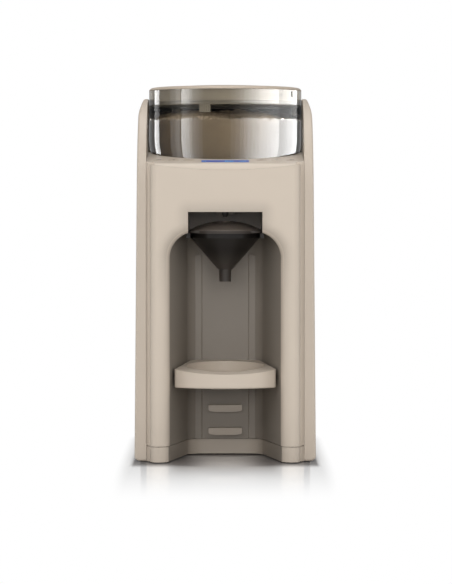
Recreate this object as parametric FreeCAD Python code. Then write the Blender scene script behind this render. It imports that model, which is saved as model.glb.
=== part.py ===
"""Baby formula maker: a countertop machine that doses milk powder and warm water into a bottle.

Millimetres, +Z up, front towards -Y. The origin lies on the resting plane, under the middle of the casing.
"""
import FreeCAD, Part
import math
import os

V = FreeCAD.Vector

# ---- clearances -------------------------------------------------------------------------------
SEAM = 0.6            # open seam between two casing mouldings
PANEL_SEAM = 0.15     # closed seam between the front cover and the control panel
FIT = 0.3             # gap where one piece is set into or on another
RUN = 0.05            # radial running fit of a shaft in its bore
WELL_GAP = 0.5        # around a piece that is lifted out by hand

# ---- casing -----------------------------------------------------------------------------------
BODY_DEPTH = 330.0    # front face to rear face
COVER_WIDTH = 172.0   # front face, between its side faces
COVER_HEIGHT = 317.2  # front cover, from its lower edge to the seam under the control panel
COVER_WALL = 3.0
COVER_CORNER = 8.0    # upright corners of the front cover
COVER_LENGTH = 135.0  # how far its sides reach back
SEAM_BOW = 580.0      # radius of the bowed seam under the control panel
REBATE_STEP = 2.4     # each of the two steps beside the front cover
REBATE_SETBACK = 14.0
FLANGE_SETBACK = 19.0
FOOT_STAND = 1.2
FOOT_SINK = 1.6       # pocket for each foot in the base pan
FOOT_RADIUS = 8.0
PAN_HEIGHT = 17.3
PAN_FLOOR = 3.0
SIDE_SETBACK = 17.0   # front edge of the side covers behind the front face
SIDE_THICK = 13.5     # side cover at its foot
SIDE_TAPER = 3.6      # how much thinner it is at the shoulder
SIDE_NOSE = 2.5       # radius of its outer edge at the front and top
SIDE_HEIGHT = 420.3
SIDE_SHOULDER = 18.0  # height of the slanted shoulder at the top
SIDE_TOP = 5.0        # flat width at the top
SIDE_WALL = 2.5
SIDE_FOOT_RADIUS = 6.0
SIDE_BROW = 100.0     # rounding of its upper front corner, seen from the side
REAR_CORNER = 32.0    # upright corners of the rear cover and the water tank
REAR_HEIGHT = 266.6   # rear cover, from its lower edge
VENT_COUNT = 6
VENT_WIDTH = 68.0
VENT_HEIGHT = 3.5
VENT_PITCH = 9.0
VENT_FIRST = 60.0     # lowest vent above the lower edge of the rear cover
GLAND_RADIUS = 8.0
GLAND_FLANGE = 2.5
GLAND_BORE = 3.6
GLAND_X = -50.0
GLAND_Z = 38.0
SCREW_RADIUS = 1.5
SCREW_HEAD = 3.2
SCREW_HEAD_THICK = 1.6
SCREW_RECESS = 1.8
SCREW_LENGTH = 8.0
SCREW_BOSS = 4.5

# ---- bottle bay -------------------------------------------------------------------------------
BAY_MOUTH = 127.8     # width at the front face
BAY_BACK = 84.0       # width at the back, before the corners are rounded
BAY_DEPTH = 120.0
BAY_CORNER = 20.0
BAY_HEIGHT = 246.3    # above the lower edge of the front cover
BAY_ARCH = 30.0       # radius of the two upper corners
BAY_WALL = 2.5
LIP_DEPTH = 15.0      # the part of the bay that belongs to the front cover
LIP_EDGE = 13.0       # rounding of the mouth
LIP_FILL = 9.0        # thickness of the moulding behind that rounding
PANEL_WIDTH = 71.0    # raised back panel
PANEL_CHANNEL = 54.0  # shallow channel down its middle
PANEL_PROUD = 3.3
PANEL_HEIGHT = 221.6
PANEL_ARCH = 142.0    # radius of its top edge
CHANNEL_DEPTH = 1.3
HOOK_WIDTH = 39.6
HOOK_THICK = 8.7
HOOK_REACH = 9.0
HOOK_FIRST = 9.0      # middle of the lowest hook bar above the lower edge of the liner
HOOK_PITCH = 27.3
HOOK_COUNT = 3

# ---- bottle stand -----------------------------------------------------------------------------
STAND_SETBACK = 1.0   # front edge behind the front face
STAND_REACH = 90.0    # radius of the front edge
STAND_GAP = 3.0       # around the stand in the bay
STAND_CORNER = 6.0    # upright corners where the front edge meets the sides
STAND_EDGE = 2.0      # rounding of the lower edge
STAND_RISE = 2.7      # underside above the middle of the top hook bar
STAND_HEIGHT = 16.4   # at the front
STAND_CHEEK = 4.6     # how much higher the rim stands at the two corners
STAND_CHEEK_Y = 21.0  # those corners behind the front edge
STAND_RAMP = 11.2     # how much higher it stands at the back wall
STAND_DISH = 46.0     # radius of the plate that the bottle stands on
STAND_DISH_Y = 56.5   # middle of the plate behind the front edge
STAND_SINK = 2.4      # depth of the plate below the front edge
STAND_WALL = 3.0

# ---- funnel and its bay -----------------------------------------------------------------------
WINDOW_WIDTH = 85.3
WINDOW_HEIGHT = 30.3
WINDOW_DROP = 7.4     # lower edge of the window below the crown of the bottle bay
FUNNEL_SETBACK = 60.0
FUNNEL_RADIUS = 40.0
FUNNEL_WALL = 1.8
FUNNEL_SKIRT = 6.0    # upright part above the cone
FUNNEL_CONE = 36.2
CONE_END = 8.8        # radius of the cone at its lower end
SPOUT_RADIUS = 7.2
SPOUT_LENGTH = 14.6
SPOUT_TAPER = 0.3
RIM_THICK = 2.2
RIM_LENGTH = 60.0     # front to back, of the runners beside the cone
RIM_CORNER = 8.0
DOME_SKIRT = 1.0
DOME_RISE = 10.5
DOME_OVERHANG = 1.0
SPIGOT_DEPTH = 2.0    # ring of the cover that enters the funnel
SPIGOT_THICK = 1.5
FUNNEL_BAY_WALL = 2.0
CHUTE_RADIUS = 11.0
CHUTE_WALL = 2.0
NOZZLE_RADIUS = 4.0
NOZZLE_OFFSET = 22.0  # in front of the chute

# ---- deck, control panel ----------------------------------------------------------------------
PANEL_RISE = 7.4      # deck plane above the seam, at the front face
DECK_SLOPE = 7.0      # degrees, rising to the rear
DECK_EDGE = 7.5       # rounding between the front face and the deck
DECK_FLOOR = 9.0
DECK_WALL = 3.0
CONTROL_LENGTH = 66.0  # control panel, front to back
PANEL_SKIN = 2.5
DISPLAY_WIDTH = 55.0
DISPLAY_LENGTH = 22.0
DISPLAY_SETBACK = 25.0
LENS_STEP = 1.2       # thickness of the flange under the lens
BUTTON_SETBACK = 36.0
BUTTON_FIRST = 42.0   # inner buttons, from the middle of the panel
BUTTON_PITCH = 17.5
BUTTON_RADIUS = 6.5
BUTTON_FLANGE = 1.2
BUTTON_TRAVEL = 0.6
BUTTON_PROUD = 0.35
STEM_END = 5.7        # lower end of the button below the deck plane
BOARD_DROP = 7.4      # display board below the deck plane
BOARD_THICK = 1.6
BUTTONS = {"powder_setting_button": -3, "temperature_button": -2, "volume_down_button": -1,
           "volume_up_button": 1, "start_button": 2, "power_button": 3}

# ---- powder container and lid -----------------------------------------------------------------
CONTAINER_RADIUS = 90.5
CONTAINER_SETBACK = 137.0
CONTAINER_WALL = 2.4
CONTAINER_HEIGHT = 87.9
CONTAINER_FLOOR = 3.0
CONTAINER_EDGE = 4.0  # rounding between the floor and the side
TUCK_RADIUS = 60.0    # curve that draws in the foot of the side
TUCK_HEIGHT = 30.0    # where that curve starts above the floor
CONTAINER_FOOT = 82.0
FOOT_RING = 3.6
FOOT_RING_WALL = 2.4
OUTLET_RADIUS = 9.0
OUTLET_OFFSET = 68.0  # from the axis of the container
POWDER_EDGE = 50.0    # depth of the powder at the wall
POWDER_CREST = 15.0   # how much higher it stands in the middle
WHEEL_RADIUS = 79.0
WHEEL_HEIGHT = 13.0
WHEEL_RIM = 5.0       # height of the rim that joins the vanes
WHEEL_VANES = 10
VANE_THICK = 2.0
HUB_RADIUS = 12.0
HUB_CROWN = 4.0
BAND_HEIGHT = 13.4
BAND_THICK = 2.0
RING_HEIGHT = 4.3
RING_WIDTH = 4.4
RING_LIP = 1.0
SEAL_DEPTH = 1.6
TAB_WIDTH = 13.0
TAB_HEIGHT = 9.5
TAB_ANGLE = -16.0
TAB_COUNT = 3
TAB_RIBS = 5
LIP_THICK = 3.4
LID_EDGE = 6.0        # width of the rounded rim of the cap
LID_DOME = 3.2
CAP_SKIN = 2.4

# ---- drive ------------------------------------------------------------------------------------
MODULE = 2.0
OUTPUT_TEETH = 30
IDLER_TEETH = 15
PINION_TEETH = 10
TOOTH_TIP = 0.85      # addendum, in modules
TOOTH_ROOT = 1.15     # dedendum, in modules
BACKLASH = 0.16       # radians of one tooth pitch, shared by both flanks
GEAR_WIDTH = 8.0
GEAR_LIFT = 6.0       # gears above the floor of the gearbox
SHAFT_RADIUS = 5.0
PIN_RADIUS = 3.0
BUSH_RADIUS = 9.0
DRIVE_SQUARE = 7.0
SHAFT_REACH = 14.0    # of the square end into the mixing wheel
MOTOR_RADIUS = 18.0
MOTOR_LENGTH = 46.0
MOTOR_SHAFT = 2.5
MOTOR_STUB = 12.0     # length of its shaft inside the motor
GEARBOX_HEIGHT = 31.0
GEARBOX_WALL = 2.5
GEARBOX_ROOM = 5.0    # around the gears
SHELF_THICK = 3.0
PLATE_THICK = 2.5     # upright plates of the chassis
PLATE_SETBACK = 6.0   # chassis in front of the rear edge of the side covers

# ---- boards -------------------------------------------------------------------------------------
BOARD_TOP = 205.0
BOARD_GAP = 6.0       # each board from the middle
BOARD_WIDTH = 66.0
MAIN_HEIGHT = 85.0
POWER_HEIGHT = 65.0
STANDOFF = 3.0
MAIN_BLOCKS = [(22.0, 20.0, 14.0, 14.0, 2.0), (47.0, 55.0, 20.0, 10.0, 6.0), (17.0, 65.0, 12.0, 18.0, 5.0)]
POWER_BLOCKS = [(18.0, 30.0, 22.0, 26.0, 16.0), (50.0, 20.0, 12.0, 16.0, 14.0), (46.0, 50.0, 18.0, 10.0, 8.0)]

# ---- water --------------------------------------------------------------------------------------
TANK_HEIGHT = 124.0
TANK_WALL = 2.5
TANK_SPIGOT = 7.0
TANK_INSET = 5.0
TANK_LID_THICK = 6.0
LID_SKIN = 2.2
BARREL_RADIUS = 3.4   # hinge barrel of the tank lid
BARREL_HALF = 40.0    # middle of the lid to the inner face of an ear
LUG_WIDTH = 6.0
HINGE_PIN = 1.5
BOSS_RADIUS = 11.0
BOSS_WALL = 2.5
BOSS_DROP = 16.0
VALVE_RADIUS = 7.0
STEM_RADIUS = 2.2
COLLAR_STEP = 2.2
COLLAR_THICK = 1.4
COLLAR_DROP = 12.8    # collar of the valve below the tank
SEAL_THICK = 1.5
SPRING_WIRE = 0.35
SPRING_TURNS = 4.5
SPRING_GAP = 1.1      # middle of the wire outside the stem
CUP_DROP = 24.0       # floor of the tank seat below the top of the rear cover
CUP_WALL = 2.2
HEATER_RADIUS = 26.0
HEATER_HEIGHT = 120.0
HEATER_X = 45.0
HEATER_FLANGE = 4.0
PUMP_RADIUS = 21.0
PUMP_LENGTH = 62.0
PUMP_START = -76.0
PUMP_LIFT = 4.0
PUMP_PORT = 48.0      # inlet from the end of the pump
HOSE_RADIUS = 4.0
HOSE_WALL = 1.2
BARB_LENGTH = 10.0
HOSE_X = 58.0
HOSE_Y = 30.0
OUTLET_X = 7.0

# ---- places that follow from the sizes ----------------------------------------------------------
FRONT_Y = -BODY_DEPTH / 2
REAR_Y = BODY_DEPTH / 2
HALF = COVER_WIDTH / 2
FLANGE_HALF = HALF + 2 * REBATE_STEP
SIDE_INNER = FLANGE_HALF + SEAM / 2
SIDE_OUTER = SIDE_INNER + SIDE_THICK
PAN_TOP = FOOT_STAND + PAN_HEIGHT
PAN_INSIDE = FOOT_STAND + PAN_FLOOR
COVER_Z = PAN_TOP + SEAM
HEAD_Z = COVER_Z + COVER_HEIGHT
BAY_Y = FRONT_Y + BAY_DEPTH
BAY_TOP = COVER_Z + BAY_HEIGHT
PANEL_Y = BAY_Y - PANEL_PROUD

WELL_Z = HEAD_Z + PANEL_RISE - 0.7
WELL_RADIUS = CONTAINER_RADIUS + WELL_GAP
DECK_BOTTOM = WELL_Z - DECK_FLOOR
DECK_EAR_Z = WELL_Z + SEAM + FIT
DECK_HALF = FLANGE_HALF - COVER_WALL - FIT
AXIS_Y = FRONT_Y + CONTAINER_SETBACK
CONTAINER_Z = WELL_Z + FIT
CONTAINER_TOP = CONTAINER_Z + CONTAINER_HEIGHT
CONTAINER_INNER = CONTAINER_RADIUS - CONTAINER_WALL
FLOOR_TOP = CONTAINER_Z + CONTAINER_FLOOR
WHEEL_Z = FLOOR_TOP + 2 * FIT
OUTLET_Y = AXIS_Y - OUTLET_OFFSET
LID_Z = CONTAINER_TOP + FIT
BAND_RADIUS = CONTAINER_INNER - WELL_GAP
RING_TOP = LID_Z - BAND_HEIGHT - FIT
SEAL_FLOOR = BAND_RADIUS - SEAL_DEPTH
TUCK_X = CONTAINER_RADIUS - TUCK_RADIUS
TUCK_Z = CONTAINER_Z + TUCK_HEIGHT

SIDE_FRONT = FRONT_Y + SIDE_SETBACK
SIDE_BACK = AXIS_Y + WELL_RADIUS + DECK_WALL
SIDE_Z = FOOT_STAND
SIDE_END = SIDE_Z + SIDE_HEIGHT
REAR_FRONT = SIDE_BACK + SEAM
REAR_TOP = COVER_Z + REAR_HEIGHT
FOOT_PLACES = [(side * (HALF - 12.0), y) for side in (-1, 1) for y in (FRONT_Y + 14.0, REAR_Y - 38.0)]
BASE_SCREWS = [(side * x, y) for side in (-1, 1)
               for x, y in ((HALF - 12.0, FRONT_Y + 34.0), (HALF - 12.0, AXIS_Y + 20.0),
                            (HALF + 2.0, REAR_Y - 65.0))]
REAR_SCREWS = [(side * (HALF - 20.0), z) for side in (-1, 1) for z in (COVER_Z + 24.0, REAR_TOP - 40.0)]

STAND_BOTTOM = COVER_Z + HOOK_FIRST + (HOOK_COUNT - 1) * HOOK_PITCH + STAND_RISE
STAND_TOP = STAND_BOTTOM + STAND_HEIGHT
STAND_Y = FRONT_Y + STAND_SETBACK
STAND_BACK = PANEL_Y - FIT

WINDOW_BOTTOM = BAY_TOP - WINDOW_DROP
RIM_Z = WINDOW_BOTTOM + FUNNEL_SKIRT
RIM_RADIUS = WINDOW_WIDTH / 2 - FIT * 1.5
FUNNEL_Y = FRONT_Y + FUNNEL_SETBACK
FUNNEL_BAY_FRONT = FRONT_Y + LIP_DEPTH
FUNNEL_BAY_BACK = FUNNEL_Y + FUNNEL_RADIUS + 4.0
BAY_CEILING = WINDOW_BOTTOM + WINDOW_HEIGHT
BAY_BOX_TOP = BAY_CEILING + FUNNEL_BAY_WALL
NOZZLE_Y = OUTLET_Y - NOZZLE_OFFSET
NOZZLE_TOP = BAY_BOX_TOP + 8.0

PANEL_BACK = FRONT_Y + CONTROL_LENGTH
BUTTON_Y = FRONT_Y + BUTTON_SETBACK
DISPLAY_Y = FRONT_Y + DISPLAY_SETBACK
FLANGE_DROP = PANEL_SKIN + RUN
POST_PLACES = [(side * x, y) for side in (-1, 1)
               for x, y in ((BUTTON_FIRST + BUTTON_PITCH / 2, BUTTON_Y - 13.0),
                            (BUTTON_FIRST + BUTTON_PITCH * 1.5, BUTTON_Y + 8.0))]

GEARBOX_TOP = DECK_BOTTOM
GEARBOX_Z = GEARBOX_TOP - GEARBOX_HEIGHT
GEAR_Z = GEARBOX_Z + GEARBOX_WALL + GEAR_LIFT
GEAR_TOP = GEAR_Z + GEAR_WIDTH
IDLER_Y = AXIS_Y + MODULE * (OUTPUT_TEETH + IDLER_TEETH) / 2
PINION_Y = IDLER_Y + MODULE * (IDLER_TEETH + PINION_TEETH) / 2
SHAFT_LOW = GEARBOX_Z + 1.0
MOTOR_TOP = GEARBOX_Z - SHELF_THICK
CHASSIS_HALF = HALF - COVER_WALL - 1.0
CHASSIS_BACK = SIDE_BACK - PLATE_SETBACK

TANK_Z = REAR_TOP + SEAM
TANK_TOP = TANK_Z + TANK_HEIGHT
TANK_Y = (REAR_FRONT + REAR_Y) / 2
SEAT_Z = REAR_TOP - TANK_SPIGOT - COVER_WALL - 2 * FIT
CUP_Z = REAR_TOP - CUP_DROP
HINGE_Y = REAR_FRONT + TANK_WALL + 1.0 + BARREL_RADIUS
HINGE_Z = TANK_TOP + TANK_LID_THICK - BARREL_RADIUS
VALVE_FLOOR = TANK_Z + TANK_WALL + 0.5
COLLAR_Z = TANK_Z - COLLAR_DROP
PUMP_Z = PAN_INSIDE + PUMP_RADIUS + PUMP_LIFT
PUMP_INLET_X = PUMP_START + PUMP_PORT
BARB_RADIUS = HOSE_RADIUS - HOSE_WALL


# ---- shape helpers --------------------------------------------------------------------------------
def box(x0, x1, y0, y1, z0, z1):
    return Part.makeBox(x1 - x0, y1 - y0, z1 - z0, V(x0, y0, z0))


def rod(radius, z0, z1, x=0.0, y=0.0):
    return Part.makeCylinder(radius, z1 - z0, V(x, y, z0))


def tube(outer, inner, z0, z1, x=0.0, y=0.0):
    return rod(outer, z0, z1, x, y).cut(rod(inner, z0 - 1, z1 + 1, x, y))


def plan(u, v):
    return V(u, v, 0)


def front(u, v):
    return V(u, 0, v)


def outline(corners, place):
    """Closed wire through corners (u, v) or (u, v, radius); a radius turns the corner by a tangent arc."""
    turns = []
    for index, corner in enumerate(corners):
        here = V(corner[0], corner[1], 0)
        radius = corner[2] if len(corner) > 2 else 0.0
        if radius == 0.0:
            turns.append((here, here, here))
            continue
        before = V(corners[index - 1][0], corners[index - 1][1], 0).sub(here).normalize()
        after = V(*corners[(index + 1) % len(corners)][:2], 0).sub(here).normalize()
        half = before.getAngle(after) / 2
        reach = radius / math.tan(half)
        inward = before.add(after).normalize()
        middle = here.add(inward.multiply(radius / math.sin(half) - radius))
        turns.append((here.add(before.multiply(reach)), middle, here.add(after.multiply(reach))))
    edges = []
    for index, (start, middle, end) in enumerate(turns):
        if start.distanceToPoint(end) > 1e-6:
            arc = Part.Arc(place(start.x, start.y), place(middle.x, middle.y), place(end.x, end.y))
            edges.append(arc.toShape())
        following = turns[(index + 1) % len(turns)][0]
        if end.distanceToPoint(following) > 1e-6:
            edges.append(Part.makeLine(place(end.x, end.y), place(following.x, following.y)))
    return Part.Wire(edges)


def upright(corners, z0, z1):
    """Solid with a plan outline, from z0 to z1."""
    face = Part.Face(outline(corners, plan))
    face.translate(V(0, 0, z0))
    return face.extrude(V(0, 0, z1 - z0))


def lengthwise(corners, y0, y1):
    """Solid with an outline seen from the front, from y0 to y1."""
    face = Part.Face(outline(corners, front))
    face.translate(V(0, y0, 0))
    return face.extrude(V(0, y1 - y0, 0))


def crosswise(corners):
    """Solid across the whole casing with an outline seen from the side."""
    face = Part.Face(outline(corners, lambda u, v: V(-200, u, v)))
    return face.extrude(V(400, 0, 0))


def turned(start, *steps, x=0.0, y=0.0):
    """Solid of revolution; a step of the (radius, z) profile is an end point or a (middle, end) arc."""
    edges = []
    here = start
    for step in steps + (start,):
        if isinstance(step[0], tuple):
            middle, end = step
            edges.append(Part.Arc(front(*here), front(*middle), front(*end)).toShape())
        else:
            end = step
            edges.append(Part.makeLine(front(*here), front(*end)))
        here = end
    solid = Part.Face(Part.Wire(edges)).revolve(V(0, 0, 0), V(0, 0, 1), 360)
    solid.translate(V(x, y, 0))
    return solid


def dome(reach, base, rise, rising=True):
    """Step of a turned profile: arc of a sphere about the axis, from radius reach at height base to the axis.

    With rising false the arc runs the other way, from the axis out to that radius.
    """
    radius = (reach * reach + rise * rise) / (2 * rise)
    middle = reach * 0.5
    height = base + rise - radius + math.sqrt(radius * radius - middle * middle)
    return ((middle, height), (0, base + rise) if rising else (reach, base))


def mirrored(corners):
    """Right half of an outline, from its first to its last point, completed by its mirror image."""
    return corners + [(-corner[0],) + tuple(corner[1:]) for corner in reversed(corners)]


def turn_copies(shape, count, x=0.0, y=0.0, first=0.0):
    copies = []
    for index in range(count):
        copy = shape.copy()
        copy.rotate(V(x, y, 0), V(0, 0, 1), first + 360.0 * index / count)
        copies.append(copy)
    return copies


def fuse(shape, others):
    return shape.fuse(others).removeSplitter()


def rounded(shape, radius, chosen):
    """Fillet of the edges for which chosen(box of the edge) is true."""
    return shape.makeFillet(radius, [edge for edge in shape.Edges if chosen(edge.BoundBox)])


def deck_height(y):
    return HEAD_Z + PANEL_RISE + (y - FRONT_Y) * math.tan(math.radians(DECK_SLOPE))


def above_deck(drop):
    """Everything above the sloping deck plane, which is lowered by drop."""
    return crosswise([(FRONT_Y - 10, deck_height(FRONT_Y - 10) - drop),
                      (REAR_Y, deck_height(REAR_Y) - drop), (REAR_Y, 600), (FRONT_Y - 10, 600)])


def above_seam(lift):
    """Everything above the bowed seam between front cover and control panel, lifted by lift."""
    disc = Part.makeCylinder(SEAM_BOW, 2 * BODY_DEPTH, V(0, -BODY_DEPTH, HEAD_Z + lift + SEAM_BOW), V(0, 1, 0))
    return disc.common(box(-150, 150, FRONT_Y - 10, REAR_Y, HEAD_Z - 20, HEAD_Z + 200))


# ---- fasteners of the casing ------------------------------------------------------------------------


def screw(x, y, z, direction):
    """Pan-head screw whose head rests at (x, y, z) and whose shank points along direction."""
    head = Part.makeCylinder(SCREW_HEAD, SCREW_HEAD_THICK, V(x, y, z), V(*direction).multiply(-1))
    shank = Part.makeCylinder(SCREW_RADIUS, SCREW_LENGTH, V(x, y, z), V(*direction))
    return head.fuse(shank)


def screw_space(x, y, z, direction):
    """Recess and pilot hole that the screw fills."""
    head = Part.makeCylinder(SCREW_HEAD + FIT, 5.0, V(x, y, z), V(*direction).multiply(-1))
    shank = Part.makeCylinder(SCREW_RADIUS, SCREW_LENGTH + FIT, V(x, y, z), V(*direction))
    return head.fuse(shank)


# ---- casing ---------------------------------------------------------------------------------------
def cover_plan(inset, back):
    """Plan outline of the front cover, with its two steps beside the side covers."""
    half = HALF - inset
    step = half + REBATE_STEP
    flange = step + REBATE_STEP
    return mirrored([(half, FRONT_Y + inset, COVER_CORNER - inset), (half, FRONT_Y + REBATE_SETBACK + inset),
                     (step, FRONT_Y + REBATE_SETBACK + inset), (step, FRONT_Y + FLANGE_SETBACK + inset),
                     (flange, FRONT_Y + FLANGE_SETBACK + inset), (flange, back)])


def bay_space(grow):
    """The bottle bay as a solid: its plan outline under its arched front outline, grown by grow."""
    ahead = FRONT_Y - 5.0
    side = BAY_MOUTH / 2 + grow
    in_plan = mirrored([(side, ahead), (side, FRONT_Y + LIP_DEPTH),
                        (BAY_BACK / 2 + grow, BAY_Y + grow, BAY_CORNER + grow)])
    spring = BAY_TOP - BAY_ARCH
    in_front = mirrored([(side + 5.0, -50.0), (side + 5.0, spring), (side, spring),
                         (side, BAY_TOP + grow, BAY_ARCH + grow)])
    deep = upright(in_plan, -50.0, BAY_TOP + grow + 5.0)
    return deep.common(lengthwise(in_front, ahead, BAY_Y + grow + 5.0))


def window_space(grow, start):
    """The funnel window as a solid from start to the funnel bay, grown by grow all round."""
    half = WINDOW_WIDTH / 2 + grow
    return box(-half, half, start, FUNNEL_BAY_FRONT, WINDOW_BOTTOM - grow, BAY_CEILING + grow)


def funnel_bay_space(grow):
    half = WINDOW_WIDTH / 2 + FUNNEL_BAY_WALL + grow
    back = FUNNEL_BAY_BACK + FUNNEL_BAY_WALL + grow
    return box(-half, half, FUNNEL_BAY_FRONT, back, WINDOW_BOTTOM - grow, BAY_BOX_TOP + grow)


def rear_profile(inset, z0, z1):
    """Outline of the casing behind the side covers, seen from the front, between two heights."""
    slant = SIDE_TAPER / SIDE_HEIGHT
    low = SIDE_OUTER - slant * (z0 - SIDE_Z) - inset
    high = SIDE_OUTER - slant * (z1 - SIDE_Z) - inset
    return [(-low, z0), (low, z0), (high, z1), (-high, z1)]


def rear_block(inset, z0, z1):
    """Casing behind the side covers: tapered sides and large rounded rear corners."""
    wide = SIDE_OUTER + 1.0 - inset
    block = lengthwise(rear_profile(inset, z0, z1), REAR_FRONT + inset, REAR_Y - inset)
    corner = REAR_CORNER - inset
    corners = [(-wide, REAR_FRONT), (wide, REAR_FRONT), (wide, REAR_Y - inset, corner),
               (-wide, REAR_Y - inset, corner)]
    return block.common(upright(corners, z0, z1))


def base_pan():
    """Shallow tub under the whole casing, with the bottle bay cut out of it."""
    outer = upright(cover_plan(0.0, SIDE_BACK), FOOT_STAND, PAN_TOP)
    outer = outer.fuse(rear_block(0.0, FOOT_STAND, PAN_TOP)).fuse(
        box(-HALF, HALF, SIDE_BACK - 5, REAR_FRONT + 5, FOOT_STAND, PAN_TOP)).removeSplitter()
    hollow = upright(cover_plan(COVER_WALL, SIDE_BACK - COVER_WALL), FOOT_STAND + PAN_FLOOR, PAN_TOP + 1)
    hollow = hollow.fuse(rear_block(COVER_WALL, FOOT_STAND + PAN_FLOOR, PAN_TOP + 1))
    hollow = hollow.cut(bay_space(BAY_WALL)).cut(mouth_fill())
    pan = round_mouth(outer.cut(hollow).cut(bay_space(0.0)), FOOT_STAND)
    pan = pan.fuse([rod(SCREW_BOSS, FOOT_STAND + 1, FOOT_STAND + SCREW_LENGTH + 2, x, y)
                    for x, y in BASE_SCREWS])
    for x, y in BASE_SCREWS:
        pan = pan.cut(screw_space(x, y, FOOT_STAND + SCREW_RECESS, (0, 0, 1)))
    return pan.cut([rod(FOOT_RADIUS + FIT / 2, 0, FOOT_STAND + FOOT_SINK, x, y) for x, y in FOOT_PLACES])


def mouth_fill():
    """Thick edge behind the rounding of the mouth of the bottle bay."""
    return bay_space(LIP_FILL).common(box(-HALF, HALF, FRONT_Y + 1, FRONT_Y + LIP_FILL, 0, HEAD_Z))


def round_mouth(shape, low):
    """Rounds the edges of the mouth of the bottle bay that lie in the front face, above height low."""
    mouth = BAY_MOUTH / 2 + 0.5
    return rounded(shape, LIP_EDGE, lambda b: b.YMax < FRONT_Y + 0.01 and max(abs(b.XMin), abs(b.XMax)) < mouth
                   and b.ZMax < BAY_TOP + 0.5 and b.ZMax > low + 2)


def rubber_feet():
    top = FOOT_STAND + FOOT_SINK
    feet = [turned((0, 0), (FOOT_RADIUS - 0.8, 0), (FOOT_RADIUS, 0.8), (FOOT_RADIUS, top), (0, top), x=x, y=y)
            for x, y in FOOT_PLACES]
    return Part.makeCompound(feet)


def front_cover():
    """Head and two columns in one moulding, open at the back, with the arched mouth and the funnel window."""
    back = FRONT_Y + COVER_LENGTH
    shell = upright(cover_plan(0.0, back), COVER_Z, HEAD_Z + 20)
    shell = shell.cut(upright(cover_plan(COVER_WALL, back + 1), COVER_Z - 1, HEAD_Z + 21))
    lip = bay_space(COVER_WALL).common(box(-HALF, HALF, FRONT_Y + 1, FRONT_Y + LIP_DEPTH, COVER_Z, HEAD_Z))
    fill = mouth_fill().common(box(-HALF, HALF, FRONT_Y, FRONT_Y + LIP_DEPTH, COVER_Z, HEAD_Z))
    surround = window_space(FUNNEL_BAY_WALL, FRONT_Y + 1)
    cover = shell.fuse([lip, fill, surround]).cut(bay_space(0.0)).removeSplitter()
    cover = round_mouth(cover, COVER_Z)
    return cover.cut(above_seam(0.0)).cut(window_space(0.0, FRONT_Y - 5)).cut(funnel_bay_space(0.0))


def bottle_bay():
    """Liner of the bottle bay with its raised back panel and the hook bars for the bottle stand."""
    start = FRONT_Y + LIP_DEPTH
    room = box(-HALF, HALF, start, BAY_Y + 10, COVER_Z, BAY_TOP + 10)
    liner = bay_space(BAY_WALL).common(room).cut(bay_space(0.0))
    half = PANEL_WIDTH / 2
    channel = PANEL_CHANNEL / 2
    panel = upright([(-half, BAY_Y + 1), (-half, PANEL_Y), (-channel - CHANNEL_DEPTH, PANEL_Y),
                     (-channel, PANEL_Y + CHANNEL_DEPTH), (channel, PANEL_Y + CHANNEL_DEPTH),
                     (channel + CHANNEL_DEPTH, PANEL_Y), (half, PANEL_Y), (half, BAY_Y + 1)],
                    COVER_Z, COVER_Z + PANEL_HEIGHT)
    arch = Part.makeCylinder(PANEL_ARCH, 50, V(0, BAY_Y - 25, COVER_Z + PANEL_HEIGHT - PANEL_ARCH), V(0, 1, 0))
    liner = liner.fuse(panel.common(arch))
    liner = liner.fuse([hook_bar(COVER_Z + HOOK_FIRST + index * HOOK_PITCH) for index in range(HOOK_COUNT)])
    return liner.cut(funnel_bay_space(FIT)).removeSplitter()


def hook_bar(height):
    """Bar on the back wall that carries the stand: flat on top, slightly bulged below, rounded ends."""
    half = HOOK_WIDTH / 2
    low = height - HOOK_THICK / 2
    high = height + HOOK_THICK / 2
    corners = mirrored([(0.0, low), (half - 8.0, low + 0.3), (half, low + 1.6, 2.5), (half, high, 1.5)])[1:-1]
    return lengthwise(corners, PANEL_Y - HOOK_REACH, BAY_Y)


def side_profile(inset, low, high):
    """Right side cover seen from the front: tapered outer face with a rounded foot and a slanted shoulder."""
    slant = SIDE_TAPER / SIDE_HEIGHT
    top = SIDE_END - inset
    shoulder = top - SIDE_SHOULDER
    outer_low = SIDE_OUTER - inset - slant * (low - SIDE_Z)
    if high < shoulder:
        outer_high = SIDE_OUTER - inset - slant * (high - SIDE_Z)
        return [(SIDE_INNER - 1, low), (outer_low, low, SIDE_FOOT_RADIUS - inset), (outer_high, high, 2.0),
                (SIDE_INNER - 1, high)]
    return [(SIDE_INNER, low), (outer_low, low, SIDE_FOOT_RADIUS), (SIDE_OUTER - SIDE_TAPER, shoulder, 45.0),
            (SIDE_INNER + SIDE_TOP, top), (SIDE_INNER, top)]


def side_cover(side):
    """Side panel, hollow towards the frame below the deck and closed beside the powder container."""
    cover = lengthwise(side_profile(0.0, SIDE_Z, SIDE_END), SIDE_FRONT, SIDE_BACK)
    cover = cover.common(crosswise([(SIDE_FRONT, -5), (SIDE_FRONT, SIDE_END, SIDE_BROW), (SIDE_BACK, SIDE_END),
                                    (SIDE_BACK, -5)]))
    cover = cover.makeFillet(SIDE_NOSE, [edge for edge in cover.Edges if on_brow(edge)])
    hollow = lengthwise(side_profile(SIDE_WALL, SIDE_Z + SIDE_WALL, HEAD_Z - SIDE_WALL),
                        SIDE_FRONT + SIDE_WALL + 2, SIDE_BACK - SIDE_WALL)
    cover = cover.cut(hollow)
    if side < 0:
        cover = cover.mirror(V(0, 0, 0), V(1, 0, 0))
    return cover


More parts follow.
